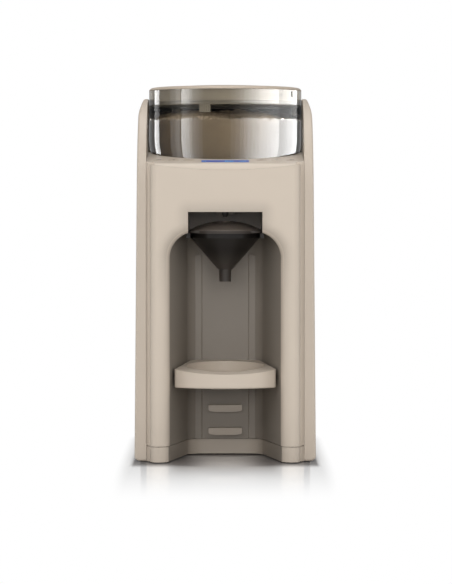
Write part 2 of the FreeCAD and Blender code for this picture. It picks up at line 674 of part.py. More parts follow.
def on_brow(edge):
    """Whether an edge of the side cover runs up its outer front, over its brow or back along its top."""
    middle = edge.valueAt((edge.FirstParameter + edge.LastParameter) / 2)
    centre_y = SIDE_FRONT + SIDE_BROW
    centre_z = SIDE_END - SIDE_BROW
    if middle.z < centre_z:
        outside = abs(middle.y - SIDE_FRONT) < 0.01
    elif middle.y > centre_y:
        outside = abs(middle.z - SIDE_END) < 0.01 and edge.BoundBox.XLength < 0.01
    else:
        outside = abs(math.hypot(middle.y - centre_y, middle.z - centre_z) - SIDE_BROW) < 0.05
    level = edge.BoundBox.XLength > 2 and edge.BoundBox.ZLength < 0.01
    return outside and middle.x > SIDE_INNER + 0.1 and not level


def rear_cover():
    """Lower rear housing with rounded corners, a seat for the water tank on top and vents in its back."""
    cover = rear_block(0.0, COVER_Z, REAR_TOP)
    cover = cover.cut(rear_block(COVER_WALL, COVER_Z - 1, REAR_TOP - TANK_SPIGOT - COVER_WALL - 2 * FIT))
    cover = cover.cut(box(-HALF, HALF, REAR_FRONT - 1, REAR_FRONT + COVER_WALL + 1, COVER_Z - 1, REAR_TOP - 40))
    cover = cover.cut(rear_block(TANK_INSET - FIT, REAR_TOP - TANK_SPIGOT - FIT, REAR_TOP + 1))
    cover = cover.cut(rod(BOSS_RADIUS + WELL_GAP, REAR_TOP - 30, REAR_TOP + 1, 0, TANK_Y))
    for row in range(VENT_COUNT):
        z = COVER_Z + VENT_FIRST + row * VENT_PITCH
        cover = cover.cut(box(-VENT_WIDTH / 2, VENT_WIDTH / 2, REAR_Y - 10, REAR_Y + 1, z, z + VENT_HEIGHT))
    cover = cover.fuse([Part.makeCylinder(SCREW_BOSS, SCREW_LENGTH + 2, V(x, REAR_Y - 1, z), V(0, -1, 0))
                        for x, z in REAR_SCREWS])
    for x, z in REAR_SCREWS:
        cover = cover.cut(screw_space(x, REAR_Y - SCREW_RECESS, z, (0, -1, 0)))
    gland = Part.makeCylinder(GLAND_RADIUS, 20, V(GLAND_X, REAR_Y - 10, GLAND_Z), V(0, 1, 0))
    return cover.cut(gland)


def cord_gland():
    """Bush in the rear cover where a mains lead enters."""
    gland = Part.makeCylinder(GLAND_RADIUS, COVER_WALL, V(GLAND_X, REAR_Y - COVER_WALL, GLAND_Z), V(0, 1, 0))
    flange = Part.makeCylinder(GLAND_RADIUS + GLAND_FLANGE, 2.0, V(GLAND_X, REAR_Y - COVER_WALL - 2, GLAND_Z),
                               V(0, 1, 0))
    bore = Part.makeCylinder(GLAND_BORE, 20, V(GLAND_X, REAR_Y - 12, GLAND_Z), V(0, 1, 0))
    return fuse(gland, [flange]).cut(bore)


# ---- bottle stand ----------------------------------------------------------------------------------
def stand_block(inset, z0, z1):
    """Plan of the stand between two heights: the bay inside its gap, with a curved front edge."""
    plan_form = bay_space(-STAND_GAP - inset).common(box(-HALF, HALF, FRONT_Y, STAND_BACK, z0, z1))
    return plan_form.common(rod(STAND_REACH - inset, z0, z1, 0, STAND_Y + STAND_REACH))


def bottle_stand():
    """Tray with a sunk plate, whose rim rises to the back wall of the bay, where it hooks over a bar."""
    ramp_top = STAND_TOP + STAND_RAMP
    block = stand_block(0.0, STAND_BOTTOM, ramp_top)
    block = rounded(block, STAND_CORNER, lambda b: b.ZLength > 5 and b.YMax < STAND_Y + STAND_DISH_Y
                    and b.XLength < 0.01)
    block = rounded(block, STAND_EDGE, lambda b: b.ZMax < STAND_BOTTOM + 0.01 and b.YMin < STAND_BACK - 1
                    and b.YLength > 0.01)
    above = crosswise([(FRONT_Y - 30, STAND_TOP), (STAND_Y, STAND_TOP),
                       (STAND_Y + STAND_CHEEK_Y, STAND_TOP + STAND_CHEEK), (STAND_BACK, ramp_top),
                       (0, ramp_top), (0, ramp_top + 50), (FRONT_Y - 30, ramp_top + 50)])
    floor = STAND_TOP - STAND_SINK
    dish = rod(STAND_DISH, floor, ramp_top + 50, 0, STAND_Y + STAND_DISH_Y)
    under = stand_block(STAND_WALL, STAND_BOTTOM - 1, floor - STAND_WALL)
    under = under.cut(box(-HALF, HALF, PANEL_Y - HOOK_REACH - 3 * STAND_WALL, 0, 0, ramp_top))
    stand = block.cut(above).cut(dish).cut(under).removeSplitter()
    return fuse(stand.cut(hook_notch()), [stand_claw()])


def hook_notch():
    """Room for the top hook bar and the ones below it, under the rear of the stand."""
    half = HOOK_WIDTH / 2 + 2 * FIT
    bar = STAND_BOTTOM - STAND_RISE
    return box(-half, half, PANEL_Y - HOOK_REACH - 2 * FIT, PANEL_Y + 1, 0, bar + HOOK_THICK / 2 + FIT)


def stand_claw():
    """Tongue that hangs in front of the top hook bar."""
    half = HOOK_WIDTH / 2 - 3.0
    start = PANEL_Y - HOOK_REACH - 2 * FIT
    bar = STAND_BOTTOM - STAND_RISE
    return box(-half, half, start - COVER_WALL, start, bar - HOOK_THICK / 2, STAND_BOTTOM + 1)


# ---- funnel bay and funnel -------------------------------------------------------------------------
def funnel_bay():
    """Dark box behind the window, open to the front and below, with a rail for the funnel on each side."""
    half = WINDOW_WIDTH / 2
    bay = funnel_bay_space(0.0).cut(box(-half, half, FRONT_Y, FUNNEL_BAY_BACK, 0, BAY_CEILING))
    rail = FUNNEL_RADIUS + WELL_GAP
    rails = [box(x0, x1, FUNNEL_BAY_FRONT + 1.5, FUNNEL_BAY_BACK, WINDOW_BOTTOM, RIM_Z - FIT)
             for x0, x1 in ((-half, -rail), (rail, half))]
    bay = bay.fuse(rails).cut(rod(CHUTE_RADIUS, 0, 500, 0, OUTLET_Y))
    return bay.cut(rod(NOZZLE_RADIUS, 0, 500, 0, NOZZLE_Y)).removeSplitter()


def funnel():
    """Cone with a spout; its flange slides on the rails of the funnel bay."""
    cone_z = WINDOW_BOTTOM - FUNNEL_CONE
    end = cone_z - SPOUT_LENGTH
    inner = FUNNEL_RADIUS - FUNNEL_WALL
    top = RIM_Z + RIM_THICK
    body = turned((RIM_RADIUS, RIM_Z), (RIM_RADIUS, top), (inner, top), (inner, WINDOW_BOTTOM),
                  (SPOUT_RADIUS - FUNNEL_WALL, cone_z), (SPOUT_RADIUS - FUNNEL_WALL - SPOUT_TAPER, end),
                  (SPOUT_RADIUS - SPOUT_TAPER, end), (SPOUT_RADIUS, cone_z), (CONE_END, cone_z),
                  (FUNNEL_RADIUS, WINDOW_BOTTOM),
                  (FUNNEL_RADIUS, RIM_Z), y=FUNNEL_Y)
    ahead = FUNNEL_Y - RIM_LENGTH / 2
    behind = FUNNEL_Y + RIM_LENGTH / 2
    runner = upright([(-RIM_RADIUS, ahead, RIM_CORNER), (RIM_RADIUS, ahead, RIM_CORNER),
                      (RIM_RADIUS, behind, RIM_CORNER), (-RIM_RADIUS, behind, RIM_CORNER)], RIM_Z, top)
    return fuse(body, [runner.cut(rod(inner, 0, 500, 0, FUNNEL_Y))])


def funnel_cover():
    """Domed cover that rests on the funnel, with a hole under the chute and one under the nozzle."""
    low = RIM_Z + RIM_THICK + FIT
    wall = FUNNEL_RADIUS + DOME_OVERHANG
    shoulder = low + DOME_SKIRT
    crest = shoulder + DOME_RISE - FUNNEL_WALL
    spigot = FUNNEL_RADIUS - FUNNEL_WALL - FIT
    inside = spigot - SPIGOT_THICK
    cover = turned((wall, low), (wall, shoulder), dome(wall, shoulder, DOME_RISE), (0, crest),
                   dome(inside, low + FUNNEL_WALL, crest - low - FUNNEL_WALL, rising=False),
                   (inside, low - SPIGOT_DEPTH), (spigot, low - SPIGOT_DEPTH), (spigot, low), y=FUNNEL_Y)
    cover = cover.cut(rod(CHUTE_RADIUS + 1.0, low, 500, 0, OUTLET_Y))
    return cover.cut(rod(NOZZLE_RADIUS + 1.0, low, 500, 0, NOZZLE_Y))


def powder_chute():
    """Tube from the deck down through the ceiling of the funnel bay."""
    return turned((CHUTE_RADIUS - CHUTE_WALL, BAY_CEILING - 3), (CHUTE_RADIUS, BAY_CEILING - 3),
                  (CHUTE_RADIUS, DECK_BOTTOM - 3), (CHUTE_RADIUS + 3, DECK_BOTTOM - 3),
                  (CHUTE_RADIUS + 3, DECK_BOTTOM), (CHUTE_RADIUS - CHUTE_WALL, DECK_BOTTOM), y=OUTLET_Y)


def water_nozzle():
    return turned((1.2, BAY_CEILING - 6), (2.2, BAY_CEILING - 6), (NOZZLE_RADIUS, BAY_CEILING - 2),
                  (NOZZLE_RADIUS, BAY_BOX_TOP), (NOZZLE_RADIUS + 3, BAY_BOX_TOP),
                  (NOZZLE_RADIUS + 3, BAY_BOX_TOP + 2.5), (BARB_RADIUS, BAY_BOX_TOP + 2.5),
                  (BARB_RADIUS, NOZZLE_TOP), (1.6, NOZZLE_TOP), y=NOZZLE_Y)


# ---- deck and control panel ---------------------------------------------------------------------------


def top_deck():
    """Deck with the well for the powder container, sloping down to the front, and the wall behind it."""
    low = box(-DECK_HALF, DECK_HALF, PANEL_BACK - 14, SIDE_BACK, DECK_BOTTOM, DECK_EAR_Z)
    ears = box(-FLANGE_HALF, FLANGE_HALF, PANEL_BACK + SEAM / 2, SIDE_BACK, DECK_EAR_Z, SIDE_END)
    wall = box(-FLANGE_HALF, FLANGE_HALF, SIDE_BACK - DECK_WALL, SIDE_BACK, WELL_Z, SIDE_END - 2)
    deck = low.fuse(ears.cut(above_deck(0.0))).fuse(wall)
    deck = deck.cut(rod(WELL_RADIUS, WELL_Z, 600, 0, AXIS_Y))
    deck = deck.cut(rod(CONTAINER_FOOT + WELL_GAP, WELL_Z - FOOT_RING - FIT, 600, 0, AXIS_Y))
    deck = deck.cut(rod(CHUTE_RADIUS - CHUTE_WALL, 0, 600, 0, OUTLET_Y))
    return deck.cut(rod(BUSH_RADIUS, 0, 600, 0, AXIS_Y)).removeSplitter()


def on_deck(shape, x, y):
    """A shape drawn flat at the origin, laid on the sloping deck at (x, y)."""
    shape.rotate(V(0, 0, 0), V(1, 0, 0), DECK_SLOPE)
    shape.translate(V(x, y, deck_height(y)))
    return shape


def button_x(place):
    return math.copysign(BUTTON_FIRST + (abs(place) - 1) * BUTTON_PITCH, place)


def control_panel():
    """Sloping cap in front of the powder container: display window, six button holes, posts for the board."""
    block = upright(cover_plan(0.0, PANEL_BACK + 30), HEAD_Z - 30, HEAD_Z + 60).cut(above_deck(0.0))
    block = rounded(block, DECK_EDGE, lambda b: b.ZMin > HEAD_Z + PANEL_RISE - 0.1 and
                    b.YMax < FRONT_Y + COVER_CORNER + 0.1 and b.ZMax < HEAD_Z + PANEL_RISE + 3)
    hollow = upright(cover_plan(COVER_WALL, PANEL_BACK + 31), HEAD_Z - 31, HEAD_Z + 60)
    hollow = hollow.cut(above_deck(PANEL_SKIN))
    panel = block.cut(hollow).common(above_seam(PANEL_SEAM))
    panel = panel.common(box(-150, 150, FRONT_Y - 1, PANEL_BACK - SEAM / 2, 0, 600))
    panel = panel.cut(rod(WELL_RADIUS, 0, 600, 0, AXIS_Y))
    half = DISPLAY_WIDTH / 2
    window = box(-half, half, -DISPLAY_LENGTH / 2, DISPLAY_LENGTH / 2, -10, 10)
    panel = panel.cut(on_deck(window, 0, DISPLAY_Y))
    for place in BUTTONS.values():
        panel = panel.cut(on_deck(rod(BUTTON_RADIUS + FIT / 2, -10, 10), button_x(place), BUTTON_Y))
    posts = [on_deck(rod(2.5, -BOARD_DROP, -PANEL_SKIN / 2), x, y) for x, y in POST_PLACES]
    return fuse(panel, posts)


def display_lens():
    """Smoked window of the display, flush with the panel and held by a flange below it."""
    half = DISPLAY_WIDTH / 2 - FIT / 2
    reach = DISPLAY_LENGTH / 2 - FIT / 2
    lens = box(-half, half, -reach, reach, -PANEL_SKIN - LENS_STEP, -0.1)
    flange = box(-half - 1.5, half + 1.5, -reach - 1.5, reach + 1.5, -PANEL_SKIN - LENS_STEP, -PANEL_SKIN)
    return on_deck(fuse(lens, [flange]), 0, DISPLAY_Y)


def button(place):
    """Round push button with a flange under the panel and a stem over its switch."""
    flange = BUTTON_RADIUS + BUTTON_FLANGE
    under = -FLANGE_DROP - BUTTON_FLANGE
    cap = turned((0, -STEM_END), (2, -STEM_END), (2, under), (flange, under), (flange, -FLANGE_DROP),
                 (BUTTON_RADIUS, -FLANGE_DROP), (BUTTON_RADIUS, BUTTON_PROUD - 0.3),
                 (BUTTON_RADIUS - 0.4, BUTTON_PROUD), (0, BUTTON_PROUD))
    return on_deck(cap, button_x(place), BUTTON_Y)


def display_board():
    """Circuit board under the panel with the display module and a switch under each button."""
    half = HALF - COVER_WALL - 3.0
    board = on_deck(box(-half, half, -19, 11, -BOARD_DROP - BOARD_THICK, -BOARD_DROP), 0, BUTTON_Y)
    switch_top = -STEM_END - BUTTON_TRAVEL - 0.1
    parts = [on_deck(rod(3, -BOARD_DROP - BOARD_THICK / 2, switch_top), button_x(place), BUTTON_Y)
             for place in BUTTONS.values()]
    reach = DISPLAY_LENGTH / 2 - 2.0
    module = box(-DISPLAY_WIDTH / 2 + 3.5, DISPLAY_WIDTH / 2 - 3.5, -reach, reach, -BOARD_DROP - BOARD_THICK / 2,
                 -PANEL_SKIN - LENS_STEP - FIT)
    parts.append(on_deck(module, 0, DISPLAY_Y))
    return fuse(board, parts)


# ---- powder container and lid ---------------------------------------------------------------------------
def bowl_side(radius, base, corner):
    """Steps of a turned profile from the floor at height base up to the straight side of that radius."""
    bend = radius - TUCK_X
    across = math.sqrt((bend - corner) ** 2 - (TUCK_Z - base - corner) ** 2)
    turn = math.atan2(TUCK_Z - base - corner, across)
    middle_x = TUCK_X + across
    middle_z = base + corner
    half = (math.pi / 2 + turn) / 2

    def on_corner(angle):
        return (middle_x + corner * math.cos(angle), middle_z - corner * math.sin(angle))

    def on_bend(angle):
        return (TUCK_X + bend * math.cos(angle), TUCK_Z - bend * math.sin(angle))

    return [(middle_x, base), (on_corner(half), on_corner(turn)), (on_bend(turn / 2), (radius, TUCK_Z))]


def reversed_steps(steps):
    """The same steps from their last point back to their first."""
    (first, corner, bend) = steps
    return [(bend[0], corner[1]), (corner[0], first)]


def powder_container():
    """Clear round container with a foot ring, the outlet and the hole for the drive in its floor."""
    outside = bowl_side(CONTAINER_RADIUS, CONTAINER_Z, CONTAINER_EDGE)
    inside = bowl_side(CONTAINER_INNER, FLOOR_TOP, CONTAINER_EDGE - CONTAINER_WALL)
    shell = turned((0, CONTAINER_Z), *outside, (CONTAINER_RADIUS, CONTAINER_TOP),
                   (CONTAINER_INNER, CONTAINER_TOP), (CONTAINER_INNER, TUCK_Z), *reversed_steps(inside),
                   (0, FLOOR_TOP), y=AXIS_Y)
    ring = tube(CONTAINER_FOOT, CONTAINER_FOOT - FOOT_RING_WALL, CONTAINER_Z - FOOT_RING, CONTAINER_Z + 0.5,
                0, AXIS_Y)
    body = fuse(shell, [ring]).cut(rod(OUTLET_RADIUS, 0, FLOOR_TOP + 1, 0, OUTLET_Y))
    return body.cut(rod(DRIVE_SQUARE, 0, FLOOR_TOP + 1, 0, AXIS_Y))


def mixing_wheel():
    """Wheel with vanes that carries powder to the outlet; its hub sits on the square end of the shaft."""
    top = WHEEL_Z + WHEEL_HEIGHT
    hub_top = WHEEL_Z + SHAFT_REACH + HUB_CROWN
    hub = turned((0, WHEEL_Z), (HUB_RADIUS, WHEEL_Z), (HUB_RADIUS, top), (HUB_RADIUS - 4, hub_top), (0, hub_top),
                 y=AXIS_Y)
    rim = tube(WHEEL_RADIUS, WHEEL_RADIUS - VANE_THICK, WHEEL_Z, WHEEL_Z + WHEEL_RIM, 0, AXIS_Y)
    vane = box(HUB_RADIUS - 2, WHEEL_RADIUS - 1, AXIS_Y - VANE_THICK / 2, AXIS_Y + VANE_THICK / 2, WHEEL_Z, top)
    wheel = fuse(hub, [rim] + turn_copies(vane, WHEEL_VANES, y=AXIS_Y))
    half = DRIVE_SQUARE / 2 + FIT / 2
    return wheel.cut(box(-half, half, AXIS_Y - half, AXIS_Y + half, WHEEL_Z - 1, WHEEL_Z + SHAFT_REACH + FIT))


def formula_powder():
    """Milk powder above and around the mixing wheel, heaped in the middle."""
    radius = CONTAINER_INNER - FIT
    low = FLOOR_TOP + FIT
    edge = FLOOR_TOP + POWDER_EDGE
    heap = turned((0, low), *bowl_side(radius, low, CONTAINER_EDGE - CONTAINER_WALL - FIT), (radius, edge),
                  dome(radius, edge, POWDER_CREST), y=AXIS_Y)
    heap = heap.cut(rod(WHEEL_RADIUS + 1, 0, WHEEL_Z + WHEEL_HEIGHT + 1, 0, AXIS_Y))
    return heap.cut(rod(HUB_RADIUS + 1, 0, WHEEL_Z + SHAFT_REACH + HUB_CROWN + 1, 0, AXIS_Y))


def lid_cap():
    """Shallow domed cap whose lip covers the rim of the container."""
    lip_top = LID_Z + LIP_THICK
    edge = CONTAINER_RADIUS - LID_EDGE
    inner = BAND_RADIUS - BAND_THICK
    return turned((inner, LID_Z), (CONTAINER_RADIUS, LID_Z), (CONTAINER_RADIUS, LID_Z + LIP_THICK / 4),
                  ((CONTAINER_RADIUS - LID_EDGE / 4, LID_Z + LIP_THICK * 0.75), (edge, lip_top)),
                  dome(edge, lip_top, LID_DOME), (0, lip_top + LID_DOME - CAP_SKIN),
                  dome(inner, lip_top - CAP_SKIN, LID_DOME, rising=False), y=AXIS_Y)


def lid_band():
    """Skirt of the lid, inside the wall of the container, with a bead along its lower edge."""
    low = LID_Z - BAND_HEIGHT
    return turned((BAND_RADIUS - BAND_THICK, low), (BAND_RADIUS, low), (BAND_RADIUS, low + 1.0),
                  (BAND_RADIUS - 0.5, low + 1.3), (BAND_RADIUS - 0.5, LID_Z), (BAND_RADIUS - BAND_THICK, LID_Z),
                  y=AXIS_Y)


def lid_ring():
    """Locking ring under the band: a flange with a seal groove and three ribbed tabs."""
    low = RING_TOP - RING_HEIGHT
    inner = BAND_RADIUS - RING_WIDTH
    ring = turned((inner, low), (BAND_RADIUS, low), (BAND_RADIUS, low + RING_LIP), (SEAL_FLOOR, low + RING_LIP),
                  (SEAL_FLOOR, RING_TOP - RING_LIP), (BAND_RADIUS, RING_TOP - RING_LIP), (BAND_RADIUS, RING_TOP),
                  (inner, RING_TOP), y=AXIS_Y)
    return fuse(ring, turn_copies(lid_tab(low), TAB_COUNT, y=AXIS_Y, first=TAB_ANGLE))


def lid_tab(top):
    """Curved tab with upright ribs, at the front of the ring."""
    outer = BAND_RADIUS - 1.2
    tab = tube(outer, outer - 2.4, top - TAB_HEIGHT, top + 0.5, 0, AXIS_Y)
    half = TAB_WIDTH / 2
    tab = tab.common(box(-half, half, AXIS_Y - outer - 5, AXIS_Y, 0, 600))
    for index in range(TAB_RIBS):
        x = -half + TAB_WIDTH * (index + 0.5) / TAB_RIBS
        groove = box(x - 0.7, x + 0.7, AXIS_Y - outer - 5, AXIS_Y - outer + 1.0, top - TAB_HEIGHT - 1, top - 0.8)
        tab = tab.cut(groove)
    return tab


def lid_seal():
    low = RING_TOP - RING_HEIGHT + RING_LIP
    high = RING_TOP - RING_LIP
    edge = CONTAINER_INNER - FIT
    return turned((SEAL_FLOOR, low), (edge, low + 0.4), (edge, high - 0.4), (SEAL_FLOOR, high), y=AXIS_Y)


# ---- drive -----------------------------------------------------------------------------------------------
def gear(teeth, bore, y, first):
    """Spur gear with involute flanks on a vertical axis; the middle of one tooth points at angle first."""
    pressure = math.radians(20.0)
    pitch = MODULE * teeth / 2
    base = pitch * math.cos(pressure)
    tip = pitch + TOOTH_TIP * MODULE
    root = pitch - TOOTH_ROOT * MODULE
    quarter = (math.pi / 2 - BACKLASH) / teeth + math.tan(pressure) - pressure
    flank = []
    for radius in (root, pitch, (pitch + tip) / 2, tip):
        slope = math.acos(min(1.0, base / radius))
        flank.append((radius, quarter - (math.tan(slope) - slope)))
    points = []
    for index in range(teeth):
        middle = math.radians(first) + 2 * math.pi * index / teeth
        for radius, half in flank:
            points.append(V(radius * math.cos(middle - half), radius * math.sin(middle - half), GEAR_Z))
        for radius, half in reversed(flank):
            points.append(V(radius * math.cos(middle + half), radius * math.sin(middle + half), GEAR_Z))
    wheel = Part.Face(Part.makePolygon(points + points[:1])).extrude(V(0, 0, GEAR_WIDTH))
    wheel.translate(V(0, y, 0))
    return wheel.cut(rod(bore, GEAR_Z - 1, GEAR_Z + GEAR_WIDTH + 1, 0, y))


def output_gear():
    hub_radius = SHAFT_RADIUS + 4.0
    hub = tube(hub_radius, SHAFT_RADIUS, GEAR_TOP, GEAR_TOP + 5, 0, AXIS_Y)
    wheel = gear(OUTPUT_TEETH, SHAFT_RADIUS, AXIS_Y, 90.0 + 180.0 / OUTPUT_TEETH)
    pocket = tube(MODULE * OUTPUT_TEETH / 2 - 5, hub_radius, GEAR_TOP - 2.5, GEAR_TOP + 6, 0, AXIS_Y)
    return fuse(wheel, [hub]).cut(pocket)


def idler_gear():
    return gear(IDLER_TEETH, PIN_RADIUS + RUN, IDLER_Y, 270.0)


def drive_pinion():
    """Pinion on the shaft of the motor."""
    facing = (IDLER_TEETH / 2) % 1
    first = 270.0 + (0.5 - facing) * 360.0 / PINION_TEETH
    wheel = gear(PINION_TEETH, MOTOR_SHAFT / 2, PINION_Y, first)
    shaft = rod(MOTOR_SHAFT, MOTOR_TOP - MOTOR_STUB, GEAR_TOP + 2, 0, PINION_Y)
    return fuse(wheel, [shaft])


def drive_shaft():
    """Shaft of the output gear; its square end drives the mixing wheel."""
    top = WELL_Z - 1.0
    shaft = rod(SHAFT_RADIUS, SHAFT_LOW, top, 0, AXIS_Y)
    half = DRIVE_SQUARE / 2
    square = box(-half, half, AXIS_Y - half, AXIS_Y + half, top - 1, WHEEL_Z + SHAFT_REACH)
    return fuse(shaft, [square])


def shaft_bushes():
    """Lower bush in the gearbox and upper bush in the deck."""
    bore = SHAFT_RADIUS + RUN
    lower = tube(BUSH_RADIUS, bore, GEARBOX_Z, GEAR_Z - 0.5, 0, AXIS_Y)
    upper = tube(BUSH_RADIUS, bore, DECK_BOTTOM, WELL_Z - FOOT_RING - FIT, 0, AXIS_Y)
    return Part.makeCompound([lower, upper])


def idler_pin():
    return rod(PIN_RADIUS, GEARBOX_Z, GEAR_TOP + 3, 0, IDLER_Y)


def gearbox_housing():
    """Open tray that carries the gears, closed by the deck above it."""
    reach = MODULE * OUTPUT_TEETH / 2 + GEARBOX_ROOM
    end = PINION_Y + MODULE * PINION_TEETH / 2 + GEARBOX_ROOM

    def tray(grow, z0, z1):
        half = reach + grow
        return upright([(-half, AXIS_Y - half, 28 + grow), (half, AXIS_Y - half, 28 + grow),
                        (half, end + grow, 10 + grow), (-half, end + grow, 10 + grow)], z0, z1)

    housing = tray(GEARBOX_WALL, GEARBOX_Z, GEARBOX_TOP)
    housing = housing.cut(tray(0.0, GEARBOX_Z + GEARBOX_WALL, GEARBOX_TOP + 1))
    boss = rod(BUSH_RADIUS + 2, GEARBOX_Z, GEAR_Z - 0.5, 0, AXIS_Y)
    pin_boss = rod(PIN_RADIUS + 3, GEARBOX_Z, GEAR_Z - FIT, 0, IDLER_Y)
    housing = housing.fuse([boss, pin_boss])
    housing = housing.cut(rod(BUSH_RADIUS, 0, GEAR_Z, 0, AXIS_Y)).cut(rod(PIN_RADIUS, 0, GEAR_Z, 0, IDLER_Y))
    return housing.cut(rod(MOTOR_SHAFT + 1.5, 0, GEAR_Z, 0, PINION_Y))


def gear_motor():
    low = MOTOR_TOP - MOTOR_LENGTH
    motor = turned((0, low), (MOTOR_RADIUS - 7, low), (MOTOR_RADIUS - 7, low + 4), (MOTOR_RADIUS - 1.5, low + 4),
                   (MOTOR_RADIUS, low + 5.5), (MOTOR_RADIUS, MOTOR_TOP), (0, MOTOR_TOP), y=PINION_Y)
    return motor.cut(rod(MOTOR_SHAFT + RUN, MOTOR_TOP - MOTOR_STUB - 1, MOTOR_TOP + 1, 0, PINION_Y))


def chassis():
    """Frame on the base pan: two side plates, the shelf of the gearbox and a rear plate for the boards."""
    ahead = AXIS_Y - MODULE * OUTPUT_TEETH / 2 - GEARBOX_ROOM - 3.0
    plates = [box(x0, x1, AXIS_Y, CHASSIS_BACK, PAN_INSIDE, DECK_BOTTOM) for x0, x1 in
              ((-CHASSIS_HALF, -CHASSIS_HALF + PLATE_THICK), (CHASSIS_HALF - PLATE_THICK, CHASSIS_HALF))]
    shelf = box(-CHASSIS_HALF, CHASSIS_HALF, ahead, CHASSIS_BACK, GEARBOX_Z - SHELF_THICK, GEARBOX_Z)
    rear = box(-CHASSIS_HALF, CHASSIS_HALF, CHASSIS_BACK - PLATE_THICK, CHASSIS_BACK, PAN_INSIDE, BOARD_TOP + 5)
    frame = plates[0].fuse([plates[1], shelf, rear]).removeSplitter()
    frame = frame.cut(rod(BUSH_RADIUS + 1, GEARBOX_Z - 10, GEARBOX_Z + 1, 0, AXIS_Y))
    frame = frame.cut(rod(MOTOR_SHAFT + 1.5, GEARBOX_Z - 10, GEARBOX_Z + 1, 0, PINION_Y))
    return frame.cut(rod(HOSE_RADIUS + 3, GEARBOX_Z - 10, GEARBOX_Z + 1, HOSE_X, HOSE_Y))


def circuit_board(side, height, blocks):
    """Upright board on four standoffs behind the chassis; blocks are (across, down, width, height, depth)."""
    x0, x1 = sorted((side * BOARD_GAP, side * (BOARD_GAP + BOARD_WIDTH)))
    low = BOARD_TOP - height
    face = CHASSIS_BACK + STANDOFF
    board = box(x0, x1, face, face + BOARD_THICK, low, BOARD_TOP)
    posts = [Part.makeCylinder(2.5, STANDOFF + 0.5, V(x, CHASSIS_BACK, z), V(0, 1, 0)) for x in (x0 + 5, x1 - 5)
             for z in (low + 5, BOARD_TOP - 5)]
    parts = [box(x0 + across - width / 2, x0 + across + width / 2, face + 1, face + BOARD_THICK + depth,
                 BOARD_TOP - down - tall / 2, BOARD_TOP - down + tall / 2)
             for across, down, width, tall, depth in blocks]
    return fuse(board, posts + parts)


def main_board():
    return circuit_board(-1, MAIN_HEIGHT, MAIN_BLOCKS)


def power_board():
    return circuit_board(1, POWER_HEIGHT, POWER_BLOCKS)


# ---- water -------------------------------------------------------------------------------------------------


def water_tank():
    """Clear tub with rounded rear corners, a spigot that enters the rear cover and the valve boss."""
    shell = rear_block(0.0, TANK_Z, TANK_TOP).cut(rear_block(TANK_WALL, VALVE_FLOOR, TANK_TOP + 1))
    spigot = rear_block(TANK_INSET, TANK_Z - TANK_SPIGOT, TANK_Z + 1)
    spigot = spigot.cut(rear_block(TANK_INSET + TANK_WALL, TANK_Z - TANK_SPIGOT - 1, TANK_Z))
    boss = tube(BOSS_RADIUS, BOSS_RADIUS - BOSS_WALL, TANK_Z - BOSS_DROP, TANK_Z + 0.5, 0, TANK_Y)
    tank = fuse(shell, [spigot, boss] + hinge_lugs()).cut(across(HINGE_PIN, 100))
    tank = tank.cut(rod(STEM_RADIUS + RUN, 0, TANK_Z + 10, 0, TANK_Y))
    for hole in turn_copies(rod(1.6, TANK_Z - 5, TANK_Z + 10, 5.4, TANK_Y), 4, y=TANK_Y):
        tank = tank.cut(hole)
    return tank


def across(radius, half, z=HINGE_Z):
    """Rod along X about the hinge line of the tank lid."""
    return Part.makeCylinder(radius, 2 * half, V(-half, HINGE_Y, z), V(1, 0, 0))


def hinge_lugs():
    """Front edge of the tank with the two ears that hold the hinge pin."""
    ledge = rear_block(0.0, TANK_TOP - 1, TANK_TOP + TANK_LID_THICK)
    lugs = [ledge.common(box(-150, 150, 0, REAR_FRONT + TANK_WALL, 0, 600))]
    for side in (-1, 1):
        ends = sorted((side * (BARREL_HALF + FIT), side * (BARREL_HALF + FIT + LUG_WIDTH)))
        ear = across(BARREL_RADIUS, 100).fuse(box(-100, 100, REAR_FRONT + 1, HINGE_Y, TANK_TOP - 10,
                                                  HINGE_Z + BARREL_RADIUS))
        ear = ear.common(box(ends[0], ends[1], 0, 200, 0, 600))
        lugs.append(ear)
    return lugs


def tank_lid():
    """Lid of the water tank; its rounded front edge turns about the hinge pin."""
    half = SIDE_OUTER - SIDE_TAPER - TANK_WALL - 1.5
    plate = rear_block(0.0, TANK_TOP + FIT, TANK_TOP + TANK_LID_THICK)
    plate = plate.cut(box(-150, 150, 0, HINGE_Y, 0, 600))
    under = rear_block(TANK_WALL + 1.5, TANK_TOP + FIT - 1, TANK_TOP + TANK_LID_THICK - LID_SKIN)
    plate = plate.cut(under.cut(box(-150, 150, 0, HINGE_Y + BARREL_RADIUS + 1, 0, 600)))
    lid = fuse(plate, [across(BARREL_RADIUS, half)])
    for side in (-1, 1):
        ends = sorted((side * BARREL_HALF, side * (BARREL_HALF + 2 * FIT + LUG_WIDTH)))
        lid = lid.cut(box(ends[0], ends[1], 0, HINGE_Y + BARREL_RADIUS + FIT, 0, 600))
    return lid.cut(across(HINGE_PIN + RUN, 100))


def tank_hinge_pin():
    return across(HINGE_PIN, BARREL_HALF + FIT + LUG_WIDTH)


def tank_valve():
    """Valve plunger, closed: head above its seal, stem through the tank floor, collar that holds the spring."""
    head = VALVE_FLOOR + SEAL_THICK + 0.1
    collar = STEM_RADIUS + COLLAR_STEP
    return turned((0, COLLAR_Z), (collar, COLLAR_Z), (collar, COLLAR_Z + COLLAR_THICK),
                  (STEM_RADIUS, COLLAR_Z + COLLAR_THICK), (STEM_RADIUS, head), (VALVE_RADIUS + 1, head),
                  (VALVE_RADIUS, head + 2.2), (0, head + 2.2), y=TANK_Y)


def valve_seal():
    return tube(VALVE_RADIUS + 0.8, STEM_RADIUS, VALVE_FLOOR + 0.1, VALVE_FLOOR + 0.1 + SEAL_THICK, 0, TANK_Y)


